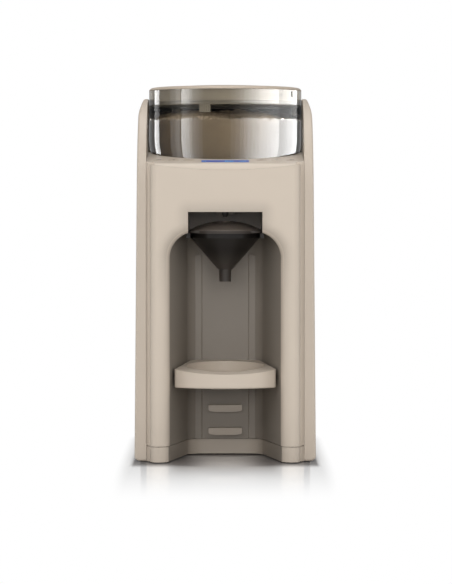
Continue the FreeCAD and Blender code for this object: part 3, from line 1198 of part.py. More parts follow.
def valve_spring():
    """Compression spring between the tank floor and the collar of the valve, coiled in quarter turns."""
    low = COLLAR_Z + COLLAR_THICK + SPRING_WIRE
    high = TANK_Z - SPRING_WIRE
    coil = STEM_RADIUS + SPRING_GAP
    steps = round(4 * SPRING_TURNS)
    rise = (high - low) / steps
    path = []
    for step in range(steps):
        quarter = Part.makeHelix(4 * rise, rise, coil)
        quarter.rotate(V(0, 0, 0), V(0, 0, 1), 90 * step)
        quarter.translate(V(0, 0, rise * step))
        path += quarter.Edges
    slope = math.atan2(4 * rise, 2 * math.pi * coil)
    circle = Part.makeCircle(SPRING_WIRE, V(coil, 0, 0), V(0, math.cos(slope), math.sin(slope)))
    spring = Part.Wire(path).makePipeShell([Part.Wire(circle)], True, True)
    spring.translate(V(0, TANK_Y, low))
    return spring


def tank_seat():
    """Cup under the rear cover that takes the valve boss, with the pin that opens the valve."""
    inner = BOSS_RADIUS + WELL_GAP
    wall = inner + CUP_WALL
    flange = wall + 4.0
    cup = turned((0, CUP_Z), (wall, CUP_Z), (wall, SEAT_Z - CUP_WALL), (flange, SEAT_Z - CUP_WALL),
                 (flange, SEAT_Z), (inner, SEAT_Z), (inner, CUP_Z + CUP_WALL), (0, CUP_Z + CUP_WALL), y=TANK_Y)
    pin = rod(STEM_RADIUS, CUP_Z + 1, COLLAR_Z - FIT, 0, TANK_Y)
    spout = rod(BARB_RADIUS, CUP_Z - BARB_LENGTH, CUP_Z + 1, OUTLET_X, TANK_Y)
    return fuse(cup, [pin, spout]).cut(rod(BARB_RADIUS - 1.0, 0, CUP_Z + 5, OUTLET_X, TANK_Y))


def water_pump():
    """Pump on its foot: motor barrel, head and the two hose barbs."""
    x_axis = V(1, 0, 0)
    barrel = Part.makeCylinder(PUMP_RADIUS, PUMP_LENGTH, V(PUMP_START, TANK_Y, PUMP_Z), x_axis)
    head = Part.makeCylinder(PUMP_RADIUS - 5, 8, V(PUMP_START + PUMP_LENGTH, TANK_Y, PUMP_Z), x_axis)
    foot = box(PUMP_START + 8, PUMP_START + PUMP_LENGTH - 8, TANK_Y - 14, TANK_Y + 14, PAN_INSIDE, PUMP_Z - 10)
    inlet = rod(BARB_RADIUS, PUMP_Z + 10, PUMP_Z + PUMP_RADIUS + 10, PUMP_INLET_X, TANK_Y)
    outlet = Part.makeCylinder(BARB_RADIUS, 18, V(PUMP_START + PUMP_LENGTH, TANK_Y, PUMP_Z), x_axis)
    return fuse(barrel, [head, foot, inlet, outlet])


def water_heater():
    """Boiler with a flange on the base pan, the inlet barb at its side and the outlet barb on top."""
    top = PAN_INSIDE + HEATER_HEIGHT
    flange = HEATER_RADIUS + HEATER_FLANGE
    tank = turned((0, PAN_INSIDE), (flange, PAN_INSIDE), (flange, PAN_INSIDE + 3),
                  (HEATER_RADIUS, PAN_INSIDE + 3), (HEATER_RADIUS, top - 8),
                  ((HEATER_RADIUS - 2.4, top - 2.4), (HEATER_RADIUS - 8, top)), (0, top), x=HEATER_X, y=TANK_Y)
    start = HEATER_X - HEATER_RADIUS - 6
    barb = Part.makeCylinder(BARB_RADIUS, BARB_LENGTH, V(start, TANK_Y, PUMP_Z), V(1, 0, 0))
    outlet = rod(BARB_RADIUS, top - 2, top + BARB_LENGTH, HEATER_X, TANK_Y)
    return fuse(tank, [barb, outlet])


def hose(points, bend):
    """Hose along straight runs joined by tangent arcs, with an open bore."""
    edges = []
    here = points[0]
    for index in range(1, len(points) - 1):
        corner = points[index]
        before = points[index - 1].sub(corner).normalize()
        after = points[index + 1].sub(corner).normalize()
        half = before.getAngle(after) / 2
        reach = bend / math.tan(half)
        inward = before.add(after).normalize()
        start = corner.add(V(before).multiply(reach))
        end = corner.add(V(after).multiply(reach))
        middle = corner.add(inward.multiply(bend / math.sin(half) - bend))
        edges.append(Part.makeLine(here, start))
        edges.append(Part.Arc(start, middle, end).toShape())
        here = end
    edges.append(Part.makeLine(here, points[-1]))
    path = Part.Wire(edges)
    direction = points[1].sub(points[0])
    skins = []
    for radius in (HOSE_RADIUS, BARB_RADIUS):
        circle = Part.Wire(Part.makeCircle(radius, points[0], direction))
        skins.append(path.makePipeShell([circle], True, False))
    return skins[0].cut(skins[1])


def inlet_hose():
    low = PUMP_Z + PUMP_RADIUS + 2
    return hose([V(OUTLET_X, TANK_Y, CUP_Z - 2), V(OUTLET_X, TANK_Y, CUP_Z - 60),
                 V(PUMP_INLET_X, TANK_Y, low + 60), V(PUMP_INLET_X, TANK_Y, low)], 24.0)


def transfer_hose():
    start = PUMP_START + PUMP_LENGTH + 9
    x_axis = V(1, 0, 0)
    length = HEATER_X - HEATER_RADIUS - 0.5 - start
    skin = Part.makeCylinder(HOSE_RADIUS, length, V(start, TANK_Y, PUMP_Z), x_axis)
    return skin.cut(Part.makeCylinder(BARB_RADIUS, length + 2, V(start - 1, TANK_Y, PUMP_Z), x_axis))


def outlet_hose():
    high = GEARBOX_Z + 13.0
    crossing = BOARD_TOP + 24.0
    return hose([V(HEATER_X, TANK_Y, PAN_INSIDE + HEATER_HEIGHT + 1), V(HEATER_X, TANK_Y, crossing),
                 V(HOSE_X, HOSE_Y, crossing), V(HOSE_X, HOSE_Y, high), V(HOSE_X, OUTLET_Y - 4, high),
                 V(0, NOZZLE_Y, high), V(0, NOZZLE_Y, NOZZLE_TOP - 5)], 11.0)


# ---- fasteners ---------------------------------------------------------------------------------------------
def base_screws():
    return Part.makeCompound([screw(x, y, FOOT_STAND + SCREW_RECESS, (0, 0, 1)) for x, y in BASE_SCREWS])


def rear_screws():
    return Part.makeCompound([screw(x, REAR_Y - SCREW_RECESS, z, (0, -1, 0)) for x, z in REAR_SCREWS])


def export(name, shape):
    if not shape.isValid():
        print("not valid:", name)
    if len(shape.Solids) == 0:
        print("no solid:", name)
    shape.exportStep(os.path.join("parts", name + ".step"))
    print(name, len(shape.Solids), round(shape.Volume), [round(value, 1) for value in (
        shape.BoundBox.XMin, shape.BoundBox.XMax, shape.BoundBox.YMin, shape.BoundBox.YMax,
        shape.BoundBox.ZMin, shape.BoundBox.ZMax)])


def main():
    os.makedirs("parts", exist_ok=True)
    export("base_pan", base_pan())
    export("rubber_feet", rubber_feet())
    export("base_screws", base_screws())
    export("chassis", chassis())
    export("front_cover", front_cover())
    export("bottle_bay", bottle_bay())
    export("bottle_stand", bottle_stand())
    export("left_side_cover", side_cover(-1))
    export("right_side_cover", side_cover(1))
    export("rear_cover", rear_cover())
    export("rear_screws", rear_screws())
    export("cord_gland", cord_gland())
    export("top_deck", top_deck())
    export("control_panel", control_panel())
    export("display_lens", display_lens())
    export("display_board", display_board())
    for name, place in BUTTONS.items():
        export(name, button(place))
    export("main_board", main_board())
    export("power_board", power_board())
    export("funnel_bay", funnel_bay())
    export("funnel", funnel())
    export("funnel_cover", funnel_cover())
    export("powder_chute", powder_chute())
    export("water_nozzle", water_nozzle())
    export("powder_container", powder_container())
    export("formula_powder", formula_powder())
    export("mixing_wheel", mixing_wheel())
    export("lid_cap", lid_cap())
    export("lid_band", lid_band())
    export("lid_ring", lid_ring())
    export("lid_seal", lid_seal())
    export("gear_motor", gear_motor())
    export("drive_pinion", drive_pinion())
    export("idler_gear", idler_gear())
    export("idler_pin", idler_pin())
    export("output_gear", output_gear())
    export("drive_shaft", drive_shaft())
    export("shaft_bushes", shaft_bushes())
    export("gearbox_housing", gearbox_housing())
    export("water_tank", water_tank())
    export("tank_lid", tank_lid())
    export("tank_hinge_pin", tank_hinge_pin())
    export("tank_valve", tank_valve())
    export("valve_seal", valve_seal())
    export("valve_spring", valve_spring())
    export("tank_seat", tank_seat())
    export("water_pump", water_pump())
    export("water_heater", water_heater())
    export("inlet_hose", inlet_hose())
    export("transfer_hose", transfer_hose())
    export("outlet_hose", outlet_hose())


main()
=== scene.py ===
"""Baby formula maker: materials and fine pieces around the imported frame."""
import math

import bmesh
import bpy
from mathutils import Matrix, Vector, noise


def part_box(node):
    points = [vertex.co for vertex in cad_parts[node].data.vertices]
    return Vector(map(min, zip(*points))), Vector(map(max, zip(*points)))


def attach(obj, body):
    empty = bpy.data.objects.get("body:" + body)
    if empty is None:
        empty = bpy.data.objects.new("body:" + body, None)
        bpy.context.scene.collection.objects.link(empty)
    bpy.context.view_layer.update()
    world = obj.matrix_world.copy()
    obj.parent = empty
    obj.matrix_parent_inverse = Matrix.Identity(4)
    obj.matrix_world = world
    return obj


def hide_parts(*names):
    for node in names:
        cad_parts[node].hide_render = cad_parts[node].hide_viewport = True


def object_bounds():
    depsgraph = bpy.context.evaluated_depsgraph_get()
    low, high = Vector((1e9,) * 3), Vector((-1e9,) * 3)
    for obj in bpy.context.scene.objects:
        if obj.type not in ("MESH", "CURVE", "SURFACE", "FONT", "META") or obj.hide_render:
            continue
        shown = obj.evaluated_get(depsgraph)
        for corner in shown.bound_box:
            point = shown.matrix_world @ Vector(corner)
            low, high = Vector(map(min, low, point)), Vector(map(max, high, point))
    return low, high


bl_info = {
    "name": "Baby formula maker",
    "version": (1, 0, 0),
    "blender": (4, 5, 0),
    "location": "View3D > Sidebar > Formula maker",
    "description": "Builds the visible surfaces of a countertop baby formula maker",
    "category": "Object",
}

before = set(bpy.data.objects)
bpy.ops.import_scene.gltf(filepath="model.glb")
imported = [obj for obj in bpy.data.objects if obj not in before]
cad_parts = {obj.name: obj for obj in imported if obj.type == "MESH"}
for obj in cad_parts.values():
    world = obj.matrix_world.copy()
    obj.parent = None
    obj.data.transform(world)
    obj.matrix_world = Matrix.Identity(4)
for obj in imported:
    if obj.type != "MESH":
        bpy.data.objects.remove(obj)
CAD_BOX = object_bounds()

# axis of the powder container, and the sloping deck with its buttons and display
AXIS = Vector((0.0, -0.028, 0.0))
DECK_SLOPE = math.radians(7.0)
DECK_FRONT_Y = -0.165
DECK_FRONT_Z = 0.3437
BUTTON_Y = -0.129
DISPLAY_Y = -0.140

# container: drawn-in foot, middle of the wall, and the clear height between powder and lid
TUCK_X = 0.0305
TUCK_Z = 0.3733
WALL_MIDDLE = 0.0893
GAP_LOW = 0.3968
GAP_HIGH = 0.4146

# powder: height of the heap over its edge, rings across the top, steps down the side and points round it
CREST = 0.015
HEAP = 0.0112
TOP_RINGS = 72
SIDE_RINGS = 7
AROUND = 240

# marks on the lid band and the container: height and turn from the front, in radians
ARROW_Z = 0.4246
ARROW_TURN = 0.30
LOCK_Z = 0.4262
LOCK_TURN = 1.044
SUNK = 0.00002
PRINT_LINE = 0.0008

# bottle bay, the funnel window above it, the rails in it and the hook bars on its back panel
BAY_HALF = 0.0645
BAY_BACK = -0.045
BAY_CROWN = 0.2654
BAY_ARCH = 0.03
WINDOW_HALF = 0.04265
WINDOW_TOP = 0.2883
FUNNEL_RIM = 0.0032
RAIL_INNER = 0.0398
HOOK_HALF = 0.0204
HOOK_FRONT = -0.0486
HOOK_TOP = 0.0885

# camera: height of the picture and distance of its plane in pixels, and its tilt in degrees
IMAGE_HEIGHT = 584.0
IMAGE_PLANE = 2822.0
CAMERA_TILT = 1.726

# brightness of the surroundings where they light the object
FILL = 0.30

# name, azimuth and elevation from the front, distance, width, height, power, seen in mirrors
LAMPS = (("front softbox", -3.0, 27.0, 3.0, 2.4, 0.9, 20.0, True),
         ("front fill", 0.0, 5.0, 3.0, 2.0, 0.7, 27.0, False),
         ("overhead box", 0.0, 84.0, 2.4, 2.2, 2.2, 30.0, True),
         ("right softbox", 66.0, 12.0, 2.4, 1.2, 1.6, 8.0, True),
         ("left softbox", -66.0, 12.0, 2.4, 1.2, 1.6, 7.0, True))

# softboxes that only mirror in the container: azimuth and brightness along each of them
MIRRORS = (((8.0, 0.5), (22.0, 2.2), (34.0, 6.5), (47.0, 11.0), (60.0, 14.0), (88.0, 21.0)),
           ((88.0, 12.0), (108.0, 12.0), (132.0, 8.0), (138.0, 5.0)),
           ((-34.0, 0.5), (-50.0, 3.0), (-60.0, 8.0), (-69.0, 10.0)),
           ((-71.0, 1.6), (-90.0, 1.2)),
           ((-118.0, 6.0), (-133.0, 7.0)))
MIRROR_STEP = 7.0


# ---- shader helpers ------------------------------------------------------------------------------
class Value:
    """Output socket of a node tree with arithmetic; each operator adds a Math node."""

    def __init__(self, tree, socket):
        self.tree = tree
        self.socket = socket

    def math(self, operation, *others):
        node = self.tree.nodes.new("ShaderNodeMath")
        node.operation = operation
        for slot, value in zip(node.inputs, (self,) + others):
            if isinstance(value, Value):
                self.tree.links.new(value.socket, slot)
            else:
                slot.default_value = value
        return Value(self.tree, node.outputs[0])

    def reflected(self, operation, other):
        node = self.tree.nodes.new("ShaderNodeMath")
        node.operation = operation
        node.inputs[0].default_value = other
        self.tree.links.new(self.socket, node.inputs[1])
        return Value(self.tree, node.outputs[0])

    def __add__(self, other):
        return self.math("ADD", other)

    __radd__ = __add__

    def __mul__(self, other):
        return self.math("MULTIPLY", other)

    __rmul__ = __mul__

    def __sub__(self, other):
        return self.math("SUBTRACT", other)

    def __rsub__(self, other):
        return self.reflected("SUBTRACT", other)

    def __truediv__(self, other):
        return self.math("DIVIDE", other)

    def __rtruediv__(self, other):
        return self.reflected("DIVIDE", other)

    def __pow__(self, other):
        return self.math("POWER", other)

    def __gt__(self, other):
        return self.math("GREATER_THAN", other)

    def __lt__(self, other):
        return self.math("LESS_THAN", other)

    def __abs__(self):
        return self.math("ABSOLUTE")

    def clamped(self):
        node = self.math("ADD", 0.0)
        node.socket.node.use_clamp = True
        return node

    def smooth(self, low, high):
        """0 below low, 1 above high, eased between them."""
        node = self.tree.nodes.new("ShaderNodeMapRange")
        node.interpolation_type = "SMOOTHSTEP"
        self.tree.links.new(self.socket, node.inputs["Value"])
        node.inputs["From Min"].default_value = low
        node.inputs["From Max"].default_value = high
        return Value(self.tree, node.outputs["Result"])


class Finish:
    """Material under construction."""

    def __init__(self, name):
        self.material = bpy.data.materials.new(name)
        self.material.use_nodes = True
        self.tree = self.material.node_tree
        self.tree.nodes.clear()
        self.output = self.tree.nodes.new("ShaderNodeOutputMaterial")

    def node(self, kind, settings=None, inputs=None, result=0):
        """Any node: its settings are set first, then the values or links of its sockets."""
        made = self.tree.nodes.new(kind)
        for key, value in (settings or {}).items():
            if key == "stops":
                self.set_stops(made.color_ramp, value)
            else:
                setattr(made, key, value)
        for key, value in (inputs or {}).items():
            self.feed(made.inputs[key], value)
        return Value(self.tree, made.outputs[result])

    @staticmethod
    def set_stops(ramp, stops):
        while len(ramp.elements) < len(stops):
            ramp.elements.new(0.5)
        for element, (place, colour) in zip(ramp.elements, stops):
            element.position = place
            element.color = colour

    def feed(self, socket, value):
        if isinstance(value, Value):
            self.tree.links.new(value.socket, socket)
        elif hasattr(socket.default_value, "__len__") and len(socket.default_value) == 4 and len(value) == 3:
            socket.default_value = tuple(value) + (1.0,)
        else:
            socket.default_value = value

    def place(self):
        """Position on the piece, in metres."""
        return self.node("ShaderNodeTexCoord", result="Object")

    def axes(self, place):
        split = self.tree.nodes.new("ShaderNodeSeparateXYZ")
        self.tree.links.new(place.socket, split.inputs[0])
        return [Value(self.tree, output) for output in split.outputs]

    def grain(self, place, scale, detail=3.0, roughness=0.5):
        return self.node("ShaderNodeTexNoise", {"noise_dimensions": "3D"},
                         {"Vector": place, "Scale": scale, "Detail": detail, "Roughness": roughness}, "Fac")

    def mix(self, factor, first, second):
        """Colour mix."""
        return self.node("ShaderNodeMix", {"data_type": "RGBA"}, {0: factor, 6: first, 7: second}, 2)

    def bump(self, height, strength, distance, base=None):
        inputs = {"Height": height, "Strength": strength, "Distance": distance}
        if base:
            inputs["Normal"] = base
        return self.node("ShaderNodeBump", {}, inputs, "Normal")

    def upright(self):
        """Surface normal laid level wherever the surface is steep."""
        normal = self.node("ShaderNodeNewGeometry", result="Normal")
        across, along, up = self.axes(normal)
        level = up * abs(up).smooth(0.60, 0.80)
        joined = self.node("ShaderNodeCombineXYZ", {}, {"X": across, "Y": along, "Z": level})
        return self.node("ShaderNodeVectorMath", {"operation": "NORMALIZE"}, {0: joined})

    def principled(self, **inputs):
        named = {key.replace("_", " ").title().replace("Ior", "IOR"): value for key, value in inputs.items()}
        return self.node("ShaderNodeBsdfPrincipled", {}, named, "BSDF")

    def done(self, shader):
        self.tree.links.new(shader.socket, self.output.inputs["Surface"])
        return self.material


def shade(colour, factor):
    return tuple(min(1.0, channel * factor) for channel in colour)


def satin(name):
    """A material under construction, with the axes of its piece and a moulding's fine and broad grain."""
    finish = Finish(name)
    place = finish.place()
    return finish, finish.axes(place), finish.grain(place, 2600.0, 2.0), finish.grain(place, 9.0, 3.0)


def moulded(name, colour, roughness=0.45):
    """Satin moulded plastic: fine spark-eroded grain, faint flow shading and uneven gloss."""
    finish = Finish(name)
    place = finish.place()
    fine = finish.grain(place, 2600.0, 2.0)
    broad = finish.grain(place, 9.0, 3.0)
    tint = finish.mix(broad.smooth(0.3, 0.7), shade(colour, 0.975), shade(colour, 1.02))
    tint = finish.mix(fine.smooth(0.35, 0.65) * 0.25, tint, shade(colour, 0.93))
    gloss = roughness + (broad - 0.5) * 0.08 + (fine - 0.5) * 0.10
    normal = finish.bump(fine, 0.35, 0.00006)
    return finish.done(finish.principled(base_color=tint, roughness=gloss, normal=normal))


def clear_plastic(name, tint, roughness, shadow):
    """See-through plastic with faint moulding waves; light passes through it onto what it holds."""
    finish = Finish(name)
    place = finish.place()
    wave = finish.grain(place, 26.0, 2.0)
    colour = finish.mix(wave.smooth(0.3, 0.7), shade(tint, 0.97), shade(tint, 1.0))
    normal = finish.bump(wave, 0.05, 0.0004)
    body = finish.principled(base_color=colour, roughness=roughness + wave * 0.02, normal=normal,
                             transmission_weight=1.0, ior=1.46)
    return finish.done(lit_through(finish, body, shade(tint, shadow)))


def from_corner(sideways, upwards):
    """Distance from the corner of an opening, nought inside it."""
    sideways = sideways.math("MAXIMUM", 0.0)
    upwards = upwards.math("MAXIMUM", 0.0)
    return (sideways * sideways + upwards * upwards).math("SQRT")


def lit_through(finish, body, tint):
    """The shader body, which lets the light of the lamps through in a tint."""
    passing = finish.node("ShaderNodeBsdfTransparent", {}, {"Color": tint}, "BSDF")
    shadow_ray = finish.node("ShaderNodeLightPath", result="Is Shadow Ray")
    return finish.node("ShaderNodeMixShader", {}, {0: shadow_ray, 1: body, 2: passing})


def container_plastic(name, tint):
    """Smoked wall that mirrors like a plain cylinder, also where its foot is drawn in.

    Between the powder and the lid only its bare inner face is left: it mirrors less there, and its rear half
    is painted near black as shade.
    """
    finish = Finish(name)
    place = finish.place()
    across, along, up = finish.axes(place)
    ragged = up + (finish.grain(place, 75.0, 4.0, 0.7) - 0.5) * 0.009
    gap = ragged.smooth(GAP_LOW, GAP_LOW + 0.0005) * (1.0 - up.smooth(GAP_HIGH - 0.0006, GAP_HIGH))
    behind = gap * (along > AXIS.y) * up.smooth(GAP_LOW, GAP_LOW + 0.005)
    wave = finish.grain(place, 26.0, 2.0)
    colour = finish.mix(wave.smooth(0.3, 0.7), shade(tint, 0.97), shade(tint, 1.0))
    # painted shade: in the gap the rear half of the wall is drawn near black
    colour = finish.mix(behind, colour, shade(tint, 0.03))
    normal = finish.bump(wave, 0.05, 0.0004, finish.upright())
    body = finish.principled(base_color=colour, roughness=0.04 + wave * 0.02, normal=normal,
                             transmission_weight=1.0, ior=1.46)
    half = tuple(channel ** 0.5 for channel in tint)
    bare = finish.node("ShaderNodeBsdfTransparent", {}, {"Color": half}, "BSDF")
    depth = along - AXIS.y
    inner = (across * across + depth * depth) < WALL_MIDDLE * WALL_MIDDLE
    share = (gap - behind) * (0.78 + 0.22 * inner)
    wall = finish.node("ShaderNodeMixShader", {}, {0: share, 1: body, 2: bare})
    passing = finish.node("ShaderNodeBsdfTransparent", {}, {"Color": shade(tint, 0.8)}, "BSDF")
    clear = finish.node("ShaderNodeBsdfTransparent", {}, {"Color": (0.92, 0.90, 0.87)}, "BSDF")
    through = finish.node("ShaderNodeMixShader", {}, {0: gap, 1: passing, 2: clear})
    shadow_ray = finish.node("ShaderNodeLightPath", result="Is Shadow Ray")
    return finish.done(finish.node("ShaderNodeMixShader", {}, {0: shadow_ray, 1: wall, 2: through}))


def metal(name, colour, roughness=0.3, streaks=400.0):
    finish = Finish(name)
    place = finish.place()
    brushed = finish.grain(place, streaks, 4.0)
    gloss = roughness + (brushed - 0.5) * 0.2
    tint = finish.mix(brushed, shade(colour, 0.9), colour)
    normal = finish.bump(brushed, 0.15, 0.00005)
    return finish.done(finish.principled(base_color=tint, roughness=gloss, metallic=1.0, normal=normal))


def soft(name, colour, roughness=0.7):
    """Rubber or silicone."""
    finish = Finish(name)
    place = finish.place()
    dust = finish.grain(place, 700.0, 4.0)
    tint = finish.mix(dust.smooth(0.3, 0.7), shade(colour, 0.9), shade(colour, 1.1))
    gloss = roughness + (dust - 0.5) * 0.15
    normal = finish.bump(dust, 0.2, 0.0001)
    return finish.done(finish.principled(base_color=tint, roughness=gloss, normal=normal))


def circuit(name, colour):
    """Green board with paler tracks."""
    finish = Finish(name)
    place = finish.place()
    cells = finish.node("ShaderNodeTexVoronoi", {"feature": "DISTANCE_TO_EDGE"},
                        {"Vector": place, "Scale": 160.0}, "Distance")
    tracks = 1.0 - cells.smooth(0.02, 0.05)
    tint = finish.mix(tracks, colour, shade(colour, 2.2))
    return finish.done(finish.principled(base_color=tint, roughness=0.35 + tracks * 0.2))


def milk_powder(name, colour):
    """Dry milk powder: loose grains, small clumps and pits between them. On the top the pits carry painted
    shade and the rest painted light, paler than the side.
    """
    finish = Finish(name)
    place = finish.place()
    grains = finish.grain(place, 620.0, 3.0, 0.7)
    clumps = finish.grain(place, 180.0, 4.0, 0.65)
    broad = finish.grain(place, 30.0, 2.0)
    across, along, up = finish.axes(place)
    pits = grains.smooth(0.35, 0.6)
    loose = up.smooth(GAP_LOW - 0.003, GAP_LOW)
    tint = finish.mix(pits, shade(colour, 0.93), shade(colour, 1.02))
    # painted light: the loose top is drawn much paler; painted shade: where pits and clumps meet it is drawn
    # much darker
    painted_light_top = finish.mix(0.3, shade(colour, 1.60), (1.0, 1.0, 1.0))
    tint = finish.mix(loose, tint, finish.mix(pits * clumps.smooth(0.36, 0.52), shade(colour, 0.55), painted_light_top))
    tint = finish.mix(broad.smooth(0.35, 0.7) * 0.5, tint, shade(colour, 0.9))
    height = (grains * 0.5 + clumps * 1.2) * loose
    normal = finish.bump(height, 0.9, 0.0012)
    return finish.done(finish.principled(base_color=tint, roughness=0.95 - pits * 0.1, normal=normal,
                                         specular_ior_level=0.1))


def glowing(name, colour, strength):
    finish = Finish(name)
    place = finish.place()
    cells = finish.grain(place, 500.0, 2.0)
    tint = finish.mix(cells.smooth(0.3, 0.7), shade(colour, 0.85), colour)
    return finish.done(finish.principled(base_color=shade(colour, 0.1), roughness=0.3 + cells * 0.1,
                                         specular_ior_level=0.15, emission_color=tint,
                                         emission_strength=strength))


def printed(name, colour):
    """Ink printed on plastic, thinner in places."""
    finish = Finish(name)
    place = finish.place()
    cover = finish.grain(place, 1800.0, 2.0)
    tint = finish.mix(cover.smooth(0.3, 0.7), shade(colour, 0.85), shade(colour, 1.2))
    return finish.done(finish.principled(base_color=tint, roughness=0.45 + cover * 0.15))


def paint(node, material):
    """Gives a frame node its finish."""
    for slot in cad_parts[node].material_slots:
        slot.material = material


# ---- mesh helpers --------------------------------------------------------------------------------
def new_piece(name, mesh, material, body, replaced=()):
    piece = bpy.data.objects.new(name, mesh)
    bpy.context.scene.collection.objects.link(piece)
    piece.data.materials.append(material)
    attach(piece, body)
    if replaced:
        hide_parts(*replaced)
    return piece


def join_rings(made, rings):
    """Faces between rings of vertices that follow each other; a ring of one vertex is a pole."""
    for lower, upper in zip(rings, rings[1:]):
        count = max(len(lower), len(upper))
        for index in range(count):
            following = (index + 1) % count
            if len(lower) == 1:
                made.faces.new((lower[0], upper[following], upper[index]))
            elif len(upper) == 1:
                made.faces.new((lower[index], lower[following], upper[0]))
            else:
                made.faces.new((lower[index], lower[following], upper[following], upper[index]))


def finished(name, made, sharp=None):
    bmesh.ops.recalc_face_normals(made, faces=made.faces)
    mesh = bpy.data.meshes.new(name)
    made.to_mesh(mesh)
    made.free()
    mesh.shade_smooth()
    if sharp is not None:
        mesh.set_sharp_from_angle(angle=sharp)
    return mesh


def on_deck(x, y, z=0.0):
    """Matrix that lays a piece, drawn flat about the origin, on the sloping deck at (x, y)."""
    deck = DECK_FRONT_Z + (y - DECK_FRONT_Y) * math.tan(DECK_SLOPE)
    tilt = Matrix.Rotation(DECK_SLOPE, 4, "X")
    return Matrix.Translation((x, y, deck)) @ tilt @ Matrix.Translation((0, 0, z))


def close_plate(made, low, high):
    """Faces of a thin plate between its lower and upper outline."""
    made.faces.new(high)
    made.faces.new(list(reversed(low)))
    for index in range(len(low)):
        following = (index + 1) % len(low)
        made.faces.new((low[index], low[following], high[following], high[index]))


def plates(name, outlines, thickness, matrix):
    """Thin raised shapes: each outline is a closed list of (x, y), thickened upwards and placed by matrix."""
    made = bmesh.new()
    for outline in outlines:
        low = [made.verts.new((x, y, 0.0)) for x, y in outline]
        high = [made.verts.new((x, y, thickness)) for x, y in outline]
        close_plate(made, low, high)
    made.transform(matrix)
    return finished(name, made, math.radians(30))


def disc(x, y, radius, steps=20):
    angles = [2 * math.pi * step / steps for step in range(steps)]
    return [(x + radius * math.cos(angle), y + radius * math.sin(angle)) for angle in angles]


def bar(x0, y0, x1, y1, width):
    """Outline of a straight stroke."""
    along = Vector((x1 - x0, y1 - y0)).normalized() * width / 2
    side = Vector((-along.y, along.x))
    start = Vector((x0, y0)) - along
    end = Vector((x1, y1)) + along
    return [tuple(start - side), tuple(end - side), tuple(end + side), tuple(start + side)]


def arc(x, y, radius, start, end, width, steps):
    """Outline of an arc stroke, angles in degrees."""
    outer = []
    inner = []
    for step in range(steps + 1):
        angle = math.radians(start + (end - start) * step / steps)
        outer.append((x + (radius + width / 2) * math.cos(angle), y + (radius + width / 2) * math.sin(angle)))
        inner.append((x + (radius - width / 2) * math.cos(angle), y + (radius - width / 2) * math.sin(angle)))
    return outer + inner[::-1]


# ---- sizes and colours that a user may change ----------------------------------------------------
def colour_property(name, description, default):
    return bpy.props.FloatVectorProperty(name=name, description=description, default=default, subtype="COLOR",
                                         size=3, min=0.0, max=1.0)


def length_property(name, description, default):
    return bpy.props.FloatProperty(name=name, description=description, default=default, subtype="DISTANCE",
                                   unit="LENGTH", precision=4)


class MakerColours(bpy.types.PropertyGroup):
    """Colours of the mouldings."""

    shell: colour_property("Front cover", "Front cover, control panel, rear cover and deck",
                           (0.560, 0.484, 0.402))
    side: colour_property("Side covers", "Side covers", (0.515, 0.443, 0.368))
    # the bottle bay's colour is darkened: it paints the shade inside the bay
    liner: colour_property("Bottle bay", "Liner of the bottle bay", (0.250, 0.218, 0.183))
    cap: colour_property("Lid and buttons", "Lid cap and push buttons", (0.470, 0.392, 0.312))
    band: colour_property("Lid band", "Skirt and locking ring of the lid", (0.800, 0.790, 0.740))
    dark: colour_property("Dark parts", "Funnel bay and chute", (0.21, 0.185, 0.16))
    smoke: colour_property("Container", "Clear smoked container", (0.50, 0.465, 0.41))
    funnel: colour_property("Funnel", "Dark see-through funnel", (0.125, 0.105, 0.09))
    powder: colour_property("Powder", "Milk powder", (0.60, 0.51, 0.39))
    display: colour_property("Display", "Lit area of the display", (0.030, 0.085, 0.40))
    digits: colour_property("Digits", "Lit digits of the display", (0.10, 0.45, 0.80))
    ink: colour_property("Print", "Printed signs", (0.055, 0.052, 0.048))


class MakerSizes(bpy.types.PropertyGroup):
    """Sizes of the visible detail."""

    heap_ripple: length_property("Powder ripple", "How uneven the top of the powder is", 0.0045)
    mark_height: length_property("Mark height", "Thickness of printed marks", 0.00015)
    camera_distance: length_property("Camera distance", "Camera in front of the front face", 3.228)
    camera_height: length_property("Camera height", "Camera above the table", 0.294)


def colours():
    return bpy.context.scene.maker_colours


def sizes():
    return bpy.context.scene.maker_sizes


def rgb(name):
    return tuple(getattr(colours(), name))


# ---- operators -----------------------------------------------------------------------------------
class Piece(bpy.types.Operator):
    """Base of the operators that build pieces."""

    bl_options = {"REGISTER", "UNDO"}

    def execute(self, context):
        self.build()
        return {"FINISHED"}


